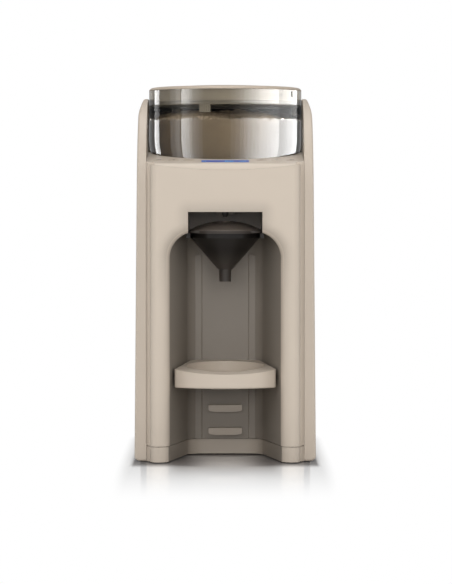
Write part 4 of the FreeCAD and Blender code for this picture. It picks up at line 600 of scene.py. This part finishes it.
class MAKER_OT_casing(Piece):
    """Finishes of the casing mouldings and what is fixed to them"""

    bl_idname = "maker.casing"
    bl_label = "Casing"

    def build(self):
        shell = moulded("shell plastic", rgb("shell"))
        for node in ("control_panel", "top_deck", "rear_cover", "bottle_stand", "tank_lid"):
            paint(node, shell)
        paint("front_cover", self.cover_plastic())
        side = moulded("side cover plastic", rgb("side"))
        paint("left_side_cover", side)
        paint("right_side_cover", side)
        paint("bottle_bay", self.bay_plastic())
        paint("base_pan", self.base_plastic())
        cap = moulded("cap plastic", rgb("cap"), 0.38)
        paint("lid_cap", cap)
        for node in ("powder_setting_button", "temperature_button", "volume_down_button", "volume_up_button",
                     "start_button", "power_button"):
            paint(node, cap)
        paint("funnel_bay", self.funnel_bay_plastic())
        dark = moulded("dark plastic", rgb("dark"), 0.5)
        for node in ("powder_chute", "cord_gland", "tank_seat", "water_pump"):
            paint(node, dark)
        paint("water_nozzle", moulded("nozzle plastic", shade(rgb("dark"), 0.12), 0.5))
        paint("rubber_feet", soft("foot rubber", (0.03, 0.03, 0.03)))

    @staticmethod
    def cover_plastic():
        """Shell colour, with soft painted shade round the mouth of the bay and the window above it."""
        finish, (across, along, up), fine, broad = satin("cover plastic")
        arch = from_corner(abs(across) - BAY_HALF + BAY_ARCH, up - BAY_CROWN + BAY_ARCH) - BAY_ARCH
        window = from_corner(abs(across) - WINDOW_HALF, up - WINDOW_TOP)
        near = 1.0 - arch.math("MINIMUM", window).smooth(-0.004, 0.018)
        tint = finish.mix(broad.smooth(0.3, 0.7), shade(rgb("shell"), 0.975), shade(rgb("shell"), 1.02))
        front = up.smooth(0.17, 0.26) * (along < CAD_BOX[0][1] + 0.004)
        # painted shade: the front face is darkened near the arch of the bay and round the window
        tint = finish.mix(near * front, tint, shade(rgb("shell"), 0.72))
        tint = finish.mix(fine.smooth(0.35, 0.65) * 0.25, tint, shade(rgb("shell"), 0.93))
        gloss = 0.45 + (broad - 0.5) * 0.08 + (fine - 0.5) * 0.10
        normal = finish.bump(fine, 0.35, 0.00006)
        return finish.done(finish.principled(base_color=tint, roughness=gloss, normal=normal))

    @staticmethod
    def base_plastic():
        """Shell colour, in shade round the foot of the bay, where little light comes in."""
        finish, (across, along, up), fine, broad = satin("base plastic")
        bay = (abs(across) < BAY_HALF + 0.0006) * (along < BAY_BACK + 0.001)
        bay = bay * (along > CAD_BOX[0][1] + 0.006)
        corner = bay * abs(across).smooth(BAY_HALF - 0.026, BAY_HALF - 0.004)
        tint = finish.mix(broad.smooth(0.3, 0.7), shade(rgb("shell"), 0.925), shade(rgb("shell"), 0.97))
        tint = finish.mix(bay, tint, shade(rgb("shell"), 0.72))
        tint = finish.mix(corner, tint, shade(rgb("shell"), 0.42))
        tint = finish.mix(fine.smooth(0.35, 0.65) * 0.2, tint, shade(rgb("shell"), 0.85))
        gloss = 0.5 + (fine - 0.5) * 0.1
        normal = finish.bump(fine, 0.35, 0.00006)
        return finish.done(finish.principled(base_color=tint, roughness=gloss, normal=normal))

    @staticmethod
    def funnel_bay_plastic():
        """Dark box, drawn much darker still on the rails that carry the funnel."""
        finish = Finish("funnel bay plastic")
        place = finish.place()
        across, along, up = finish.axes(place)
        fine = finish.grain(place, 2600.0, 2.0)
        rail = (abs(across) > RAIL_INNER) * (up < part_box("funnel")[1].z)
        tint = finish.mix(fine.smooth(0.35, 0.65), rgb("dark"), shade(rgb("dark"), 0.9))
        tint = finish.mix(rail, tint, shade(rgb("dark"), 0.08))
        gloss = 0.5 + (fine - 0.5) * 0.1
        normal = finish.bump(fine, 0.35, 0.00006)
        return finish.done(finish.principled(base_color=tint, roughness=gloss, normal=normal))

    @staticmethod
    def bay_plastic():
        """Bottle bay in a dark colour that paints the shade inside it; its hook bars, which stand out from
        its back panel, have the shell colour, darkened as painted shade.
        """
        finish, (across, along, up), fine, broad = satin("bay plastic")
        bars = (abs(across) < HOOK_HALF) * (along < HOOK_FRONT) * (up < HOOK_TOP)
        tint = finish.mix(broad.smooth(0.3, 0.7), shade(rgb("liner"), 0.97), shade(rgb("liner"), 1.03))
        # painted shade: the hook bars get the shell colour, darkened for their shade in the bay
        tint = finish.mix(bars, tint, shade(rgb("shell"), 0.80))
        tint = finish.mix(fine.smooth(0.35, 0.65) * 0.25, tint, shade(rgb("liner"), 0.9))
        gloss = 0.5 + (broad - 0.5) * 0.08 + (fine - 0.5) * 0.1
        normal = finish.bump(fine, 0.35, 0.00006)
        return finish.done(finish.principled(base_color=tint, roughness=gloss, normal=normal))


class MAKER_OT_works(Piece):
    """Finishes of the drive, boards and water parts inside"""

    bl_idname = "maker.works"
    bl_label = "Inner works"

    def build(self):
        frame_plastic = moulded("frame plastic", (0.06, 0.06, 0.06), 0.55)
        for node in ("chassis", "gearbox_housing"):
            paint(node, frame_plastic)
        acetal = moulded("acetal", (0.72, 0.72, 0.70), 0.35)
        for node in ("mixing_wheel", "drive_pinion", "idler_gear", "output_gear", "tank_valve",
                     "shaft_bushes"):
            paint(node, acetal)
        steel = metal("zinc plated steel", (0.62, 0.62, 0.62))
        for node in ("base_screws", "rear_screws", "idler_pin", "drive_shaft", "tank_hinge_pin",
                     "valve_spring", "gear_motor"):
            paint(node, steel)
        paint("water_heater", metal("cast aluminium", (0.72, 0.72, 0.73), 0.45, 150.0))
        board = circuit("circuit board", (0.02, 0.14, 0.06))
        for node in ("display_board", "main_board", "power_board"):
            paint(node, board)
        silicone = soft("silicone", (0.55, 0.55, 0.52), 0.5)
        for node in ("inlet_hose", "transfer_hose", "outlet_hose", "valve_seal", "lid_seal"):
            paint(node, silicone)


class MAKER_OT_water_tank(Piece):
    """Clear water tank"""

    bl_idname = "maker.water_tank"
    bl_label = "Water tank"

    def build(self):
        paint("water_tank", clear_plastic("tank plastic", (0.86, 0.87, 0.87), 0.08, 0.9))


class MAKER_OT_funnel(Piece):
    """Smoked funnel and its cover"""

    bl_idname = "maker.funnel"
    bl_label = "Funnel"

    def build(self):
        low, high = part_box("funnel")
        paint("funnel", self.smoked("funnel plastic", rgb("funnel"), high.z))
        paint("funnel_cover", self.smoked("funnel cover plastic", shade(rgb("funnel"), 2.4), 0.0))

    @staticmethod
    def smoked(name, colour, rim):
        """Milky smoked plastic, with painted shade below its rim that grows paler again down to the spout."""
        finish = Finish(name)
        place = finish.place()
        across, along, up = finish.axes(place)
        wave = finish.grain(place, 26.0, 2.0)
        painted_shade_under_rim = (up < rim - FUNNEL_RIM) * (0.35 + 0.65 * up.smooth(rim - 0.046, rim - 0.020))
        tint = finish.mix(wave, shade(colour, 0.96), colour)
        # painted shade: darkest just under the rim, fading towards the spout
        tint = finish.mix(painted_shade_under_rim, tint, shade(colour, 0.14))
        body = finish.principled(base_color=tint, roughness=0.30 + wave * 0.05, transmission_weight=0.55,
                                 ior=1.46)
        return finish.done(lit_through(finish, body, colour))


class MAKER_OT_container(Piece):
    """Clear smoked powder container"""

    bl_idname = "maker.container"
    bl_label = "Powder container"

    def build(self):
        paint("powder_container", container_plastic("container plastic", rgb("smoke")))
        for node in ("left_side_cover", "right_side_cover"):
            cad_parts[node].visible_glossy = False


class MAKER_OT_powder(Piece):
    """Heaped milk powder with an uneven, grainy top"""

    bl_idname = "maker.powder"
    bl_label = "Milk powder"

    def build(self):
        low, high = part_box("formula_powder")
        radius = (high.x - low.x) / 2
        edge = high.z - CREST
        made = bmesh.new()
        depths = [edge - 0.006, TUCK_Z]
        depths += [TUCK_Z + (low.z - TUCK_Z) * step / SIDE_RINGS for step in range(1, SIDE_RINGS + 1)]
        rings = [[made.verts.new((AXIS.x, AXIS.y, edge + self.heap(0.0) + self.ripple(0.0, 0.0)))]]
        for step in range(1, TOP_RINGS + 1):
            share = step / TOP_RINGS
            rings.append(self.ring(made, share * radius, self.surface(share, edge)))
        for depth in depths:
            rings.append(self.ring(made, self.wall(radius, depth), lambda x, y, z=depth: z))
        rings.append([made.verts.new((AXIS.x, AXIS.y, low.z))])
        join_rings(made, rings)
        mesh = finished("heaped powder", made)
        new_piece("heaped_powder", mesh, milk_powder("milk powder", rgb("powder")), "container",
                  ("formula_powder",))

    @staticmethod
    def heap(share):
        return HEAP * (1 - share ** 2.6)

    @staticmethod
    def ripple(x, y):
        amount = sizes().heap_ripple
        rough = noise.noise(Vector((x * 22, y * 22, 0.3))) * amount
        rough += noise.noise(Vector((x * 60, y * 60, 1.7))) * amount * 0.55
        rough += abs(noise.noise(Vector((x * 150, y * 150, 2.9)))) * amount * 0.5
        return rough + noise.noise(Vector((x * 420, y * 420, 4.1))) * amount * 0.2

    def surface(self, share, edge):
        """Height of the top at any place of one ring."""
        return lambda x, y: edge + self.heap(share) + self.ripple(x, y)

    @staticmethod
    def wall(radius, depth):
        """Radius of the powder at a height: it follows the drawn-in foot of its container."""
        if depth >= TUCK_Z:
            return radius
        return TUCK_X + math.sqrt((radius - TUCK_X) ** 2 - (TUCK_Z - depth) ** 2)

    @staticmethod
    def ring(made, radius, height):
        ring = []
        for index in range(AROUND):
            angle = 2 * math.pi * index / AROUND
            x = radius * math.cos(angle)
            y = radius * math.sin(angle)
            ring.append(made.verts.new((AXIS.x + x, AXIS.y + y, height(x, y))))
        return ring


class MAKER_OT_lid(Piece):
    """Finishes of the lid's skirt and locking ring, with the marks that show how it turns"""

    bl_idname = "maker.lid"
    bl_label = "Lid"

    def build(self):
        band = moulded("band plastic", rgb("band"), 0.3)
        paint("lid_band", band)
        paint("lid_ring", moulded("ring plastic", shade(rgb("band"), 0.7), 0.35))
        ink = printed("grey print", rgb("ink"))
        low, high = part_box("lid_band")
        strokes = ((0.0395, 0.0018, 0.0395, -0.0018), (0.0355, 0.0, 0.0395, 0.0021),
                   (0.0355, 0.0, 0.0395, -0.0021), (0.0398, 0.0010, 0.0475, 0.0010),
                   (0.0398, -0.0010, 0.0475, -0.0010), (0.0475, 0.0010, 0.0475, -0.0010))
        arrow = [bar(*stroke, PRINT_LINE) for stroke in strokes]
        self.mark("lid_arrow", arrow, (high.x - low.x) / 2 - SUNK, ARROW_Z, ARROW_TURN, ink, "lid")
        low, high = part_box("powder_container")
        line = [bar(0.0, -0.0023, 0.0, 0.0023, 0.0028)]
        self.mark("lock_line", line, (high.x - low.x) / 2 - SUNK, LOCK_Z, LOCK_TURN, ink, "container")

    @staticmethod
    def mark(name, outlines, radius, height, turn, material, body):
        """Thin print on the cylinder about the axis: outlines lie along the wall, turned from the front."""
        made = bmesh.new()
        thick = sizes().mark_height
        for outline in outlines:
            rows = []
            for reach in (radius, radius + thick):
                row = []
                for along, up in outline:
                    angle = turn + along / radius
                    x = AXIS.x + reach * math.sin(angle)
                    row.append(made.verts.new((x, AXIS.y - reach * math.cos(angle), height + up)))
                rows.append(row)
            close_plate(made, rows[0], rows[1])
        new_piece(name, finished(name, made, math.radians(30)), material, body)


class MAKER_OT_display(Piece):
    """Display window with its lit digits"""

    bl_idname = "maker.display"
    bl_label = "Display"

    SEGMENTS = {"top": (0, 2, 1, 2), "upper_right": (1, 1, 1, 2), "lower_right": (1, 0, 1, 1),
                "bottom": (0, 0, 1, 0), "lower_left": (0, 0, 0, 1), "upper_left": (0, 1, 0, 2),
                "middle": (0, 1, 1, 1)}
    DIGITS = {4: ("upper_left", "middle", "upper_right", "lower_right"),
              6: ("top", "upper_left", "middle", "lower_left", "bottom", "lower_right"),
              0: ("top", "upper_left", "upper_right", "lower_left", "lower_right", "bottom")}

    def build(self):
        paint("display_lens", glowing("lit window", rgb("display"), 0.9))
        lit = glowing("lit digits", rgb("digits"), 0.95)
        outlines = []
        for place, digit in ((-0.0258, 4), (0.0000, 6), (0.0055, 0)):
            outlines += self.digit(place, digit)
        for step in range(4):
            place = 0.0165 + 0.0022 * step
            outlines.append(bar(place, -0.0030, place, -0.0030 + 0.0014 * (step + 1), 0.0011))
        mesh = plates("display digits", outlines, sizes().mark_height, on_deck(0.0, DISPLAY_Y, -0.00008))
        new_piece("display_digits", mesh, lit, "casing")

    def digit(self, place, value):
        """Bars of a seven-segment digit whose left edge is at place."""
        width = 0.0034
        step = 0.0034
        return [bar(place + x0 * width, (y0 - 1) * step, place + x1 * width, (y1 - 1) * step, 0.0007)
                for x0, y0, x1, y1 in (self.SEGMENTS[name] for name in self.DIGITS[value])]


class MAKER_OT_icons(Piece):
    """Plain signs on the push buttons"""

    bl_idname = "maker.icons"
    bl_label = "Button signs"

    def build(self):
        ink = printed("button print", rgb("ink"))
        line = 0.0006
        triangle = [(-0.0014, -0.0021), (0.0022, 0.0), (-0.0014, 0.0021)]
        dots = [disc(x * 0.0019, y * 0.0019, 0.0006) for x in (-1, 0, 1) for y in (-1, 0, 1)]
        signs = {"power": [arc(0.0, 0.0, 0.0021, 125, 415, line, 24), bar(0.0, 0.0006, 0.0, 0.0027, line)],
                 "start": [triangle],
                 "volume_up": [bar(-0.0019, 0.0, 0.0019, 0.0, line), bar(0.0, -0.0019, 0.0, -0.0004, line),
                               bar(0.0, 0.0004, 0.0, 0.0019, line)],
                 "volume_down": [bar(-0.0019, 0.0, 0.0019, 0.0, line)],
                 "temperature": [disc(0.0, -0.0017, 0.0011), bar(0.0, -0.0004, 0.0, 0.0024, 0.0009)],
                 "powder_setting": dots}
        for body, outlines in signs.items():
            low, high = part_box(body + "_button")
            centre = (low.x + high.x) / 2
            proud = self.proud(body + "_button", on_deck(centre, BUTTON_Y))
            top = on_deck(centre, BUTTON_Y, proud - SUNK)
            mesh = plates(body + " sign", outlines, sizes().mark_height, top)
            new_piece(body + "_sign", mesh, ink, body)

    @staticmethod
    def proud(node, deck):
        """How far the top of a button stands over the deck plane."""
        inverse = deck.inverted()
        return max((inverse @ vertex.co).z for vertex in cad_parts[node].data.vertices)


class MAKER_OT_stage(Piece):
    """Pale floor with painted shadows by the casing, soft lamps, white surroundings and the camera"""

    bl_idname = "maker.stage"
    bl_label = "Stage"

    def build(self):
        self.floor()
        self.surroundings()
        self.lamps()
        self.camera()

    def floor(self):
        made = bmesh.new()
        bmesh.ops.create_grid(made, x_segments=8, y_segments=8, size=6.0)
        mesh = finished("floor", made)
        finish = Finish("pale floor")
        seen = finish.node("ShaderNodeLightPath", result="Is Camera Ray")
        place = finish.place()
        faint = finish.grain(place, 3.0, 2.0)
        across, along, up = finish.axes(place)
        reach = CAD_BOX[1][1]
        outside = ((abs(across) - CAD_BOX[1][0]) * 8.0).math("MAXIMUM", abs(along) - reach)
        in_bay = (BAY_HALF - abs(across)).math("MINIMUM", BAY_BACK - along)
        apart = outside.math("MAXIMUM", in_bay)
        tint = finish.mix(faint, (0.84, 0.84, 0.84), (0.86, 0.86, 0.86))
        # painted shadow: the floor is darkened in the bay and for a stretch ahead of it
        under = (BAY_HALF + 0.006 - abs(across)).smooth(0.0, 0.020) * (along + 0.38).smooth(0.0, 0.25)
        under = under * (along < BAY_BACK)
        tint = finish.mix(under, tint, (0.56, 0.535, 0.52))
        surface = finish.principled(base_color=tint, roughness=0.06, specular_ior_level=0.5)
        # painted contact shadow: a dark, dull shader mixed in right next to the casing
        shaded = finish.principled(base_color=(0.10, 0.085, 0.078), roughness=0.4, specular_ior_level=0.1)
        side = 1.0 - abs(across).smooth(0.1042, 0.1075)
        painted_contact_shadow = (1.0 - apart.smooth(0.016, 0.060)) * side * 0.72
        surface = finish.node("ShaderNodeMixShader", {}, {0: painted_contact_shadow, 1: surface, 2: shaded})
        # the floor's glow is left out next to the casing and mostly left out in the painted shadow of the bay
        lit = apart.smooth(0.0, 0.05) * (1.0 - 0.75 * under)
        glow = finish.node("ShaderNodeEmission", {}, {"Color": (1.0, 1.0, 1.0), "Strength": 0.24}, "Emission")
        both = finish.node("ShaderNodeAddShader", {}, {0: surface, 1: glow})
        near = finish.node("ShaderNodeMixShader", {}, {0: seen * lit, 1: surface, 2: both})
        white = finish.node("ShaderNodeEmission", {}, {"Color": (1.0, 1.0, 1.0), "Strength": 1.0}, "Emission")
        beside = ((abs(across) - CAD_BOX[1][0]) / 0.020).math("MAXIMUM", 0.0)
        ahead = ((0.0 - along - reach) / 0.42).math("MAXIMUM", 0.0)
        behind = ((along - reach) / 0.12).math("MAXIMUM", 0.0)
        away = (beside * beside + ahead * ahead + behind * behind) ** 0.5
        plain = seen * away.smooth(0.0, 1.0)
        finish.done(finish.node("ShaderNodeMixShader", {}, {0: plain, 1: near, 2: white}))
        floor = bpy.data.objects.new("floor", mesh)
        floor.data.materials.append(finish.material)
        bpy.context.scene.collection.objects.link(floor)

    def surroundings(self):
        """White to the camera, straight or through clear parts, and dimmer where it lights the object."""
        world = bpy.data.worlds.new("white room")
        world.use_nodes = True
        tree = world.node_tree
        tree.nodes.clear()
        paths = tree.nodes.new("ShaderNodeLightPath")
        seen = Value(tree, paths.outputs["Is Camera Ray"])
        through = Value(tree, paths.outputs["Is Transmission Ray"])
        mirrored = Value(tree, paths.outputs["Is Glossy Ray"])
        direct = Value(tree, paths.outputs["Diffuse Depth"]) < 0.5
        white = (seen + through * direct * 0.9 + mirrored * direct * 0.1).math("MINIMUM", 1.0)
        strength = white * (1.0 - FILL) + FILL
        background = tree.nodes.new("ShaderNodeBackground")
        background.inputs["Color"].default_value = (1.0, 1.0, 1.0, 1.0)
        tree.links.new(strength.socket, background.inputs["Strength"])
        output = tree.nodes.new("ShaderNodeOutputWorld")
        tree.links.new(background.outputs[0], output.inputs["Surface"])
        bpy.context.scene.world = world

    def lamps(self):
        """Softboxes that light everything, and a fan of narrow ones that draw the container's highlights."""
        for name, azimuth, elevation, distance, width, height, power, mirrored in LAMPS:
            holder = self.lamp(name, azimuth, elevation, distance, width, height, power)
            holder.visible_glossy = mirrored
            holder.visible_transmission = mirrored
            holder.visible_camera = False
        glossy = bpy.data.collections.new("container only")
        glossy.objects.link(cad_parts["powder_container"])
        distance = 2.4
        for points in MIRRORS:
            for (first, dim), (last, bright) in zip(points, points[1:]):
                count = math.ceil(abs(last - first) / MIRROR_STEP)
                width = 2 * distance * math.tan(math.radians(abs(last - first) / count / 2))
                for index in range(count):
                    share = (index + 0.5) / count
                    radiance = dim + (bright - dim) * share
                    azimuth = first + (last - first) * share
                    power = radiance * math.pi * width * 3.0
                    holder = self.lamp("highlight", azimuth, 4.0, distance, width, 3.0, power)
                    holder.visible_diffuse = False
                    holder.visible_transmission = False
                    holder.visible_camera = False
                    holder.light_linking.receiver_collection = glossy

    @staticmethod
    def lamp(name, azimuth, elevation, distance, width, height, power):
        target = Vector((0.0, -0.05, 0.25))
        turn = math.radians(azimuth)
        rise = math.radians(elevation)
        place = target + distance * Vector((math.sin(turn) * math.cos(rise), -math.cos(turn) * math.cos(rise),
                                            math.sin(rise)))
        light = bpy.data.lights.new(name, "AREA")
        light.shape = "RECTANGLE"
        light.size = width
        light.size_y = height
        light.energy = power
        holder = bpy.data.objects.new(name, light)
        holder.location = place
        holder.rotation_euler = (target - place).to_track_quat("-Z", "Y").to_euler()
        bpy.context.scene.collection.objects.link(holder)
        return holder

    def camera(self):
        lens = bpy.data.cameras.new("camera")
        lens.sensor_fit = "VERTICAL"
        lens.sensor_height = 36.0
        lens.lens = 36.0 * IMAGE_PLANE / IMAGE_HEIGHT
        lens.clip_end = 50.0
        camera = bpy.data.objects.new("camera", lens)
        camera.location = (0.0009, CAD_BOX[0][1] - sizes().camera_distance, sizes().camera_height)
        camera.rotation_euler = (math.radians(90.0 - CAMERA_TILT), 0.0, 0.0)
        bpy.context.scene.collection.objects.link(camera)
        bpy.context.scene.camera = camera
        bpy.context.scene.view_settings.view_transform = "Standard"


PIECES = (MAKER_OT_casing, MAKER_OT_works, MAKER_OT_water_tank, MAKER_OT_funnel, MAKER_OT_container,
          MAKER_OT_powder, MAKER_OT_lid, MAKER_OT_display, MAKER_OT_icons, MAKER_OT_stage)


class MAKER_PT_panel(bpy.types.Panel):
    """Sidebar panel that lists the pieces"""

    bl_idname = "MAKER_PT_panel"
    bl_label = "Formula maker"
    bl_space_type = "VIEW_3D"
    bl_region_type = "UI"
    bl_category = "Formula maker"

    def draw(self, context):
        for group in (context.scene.maker_colours, context.scene.maker_sizes):
            for name in group.__annotations__:
                self.layout.prop(group, name)
        for operator in PIECES:
            self.layout.operator(operator.bl_idname)


CLASSES = (MakerColours, MakerSizes) + PIECES + (MAKER_PT_panel,)


def register():
    for item in CLASSES:
        bpy.utils.register_class(item)
    bpy.types.Scene.maker_colours = bpy.props.PointerProperty(type=MakerColours)
    bpy.types.Scene.maker_sizes = bpy.props.PointerProperty(type=MakerSizes)


def unregister():
    del bpy.types.Scene.maker_sizes
    del bpy.types.Scene.maker_colours
    for item in reversed(CLASSES):
        bpy.utils.unregister_class(item)


def main():
    register()
    bpy.ops.maker.casing()
    bpy.ops.maker.works()
    bpy.ops.maker.water_tank()
    bpy.ops.maker.funnel()
    bpy.ops.maker.container()
    bpy.ops.maker.powder()
    bpy.ops.maker.lid()
    bpy.ops.maker.display()
    bpy.ops.maker.icons()
    bpy.ops.maker.stage()


if __name__ == "__main__":
    main()
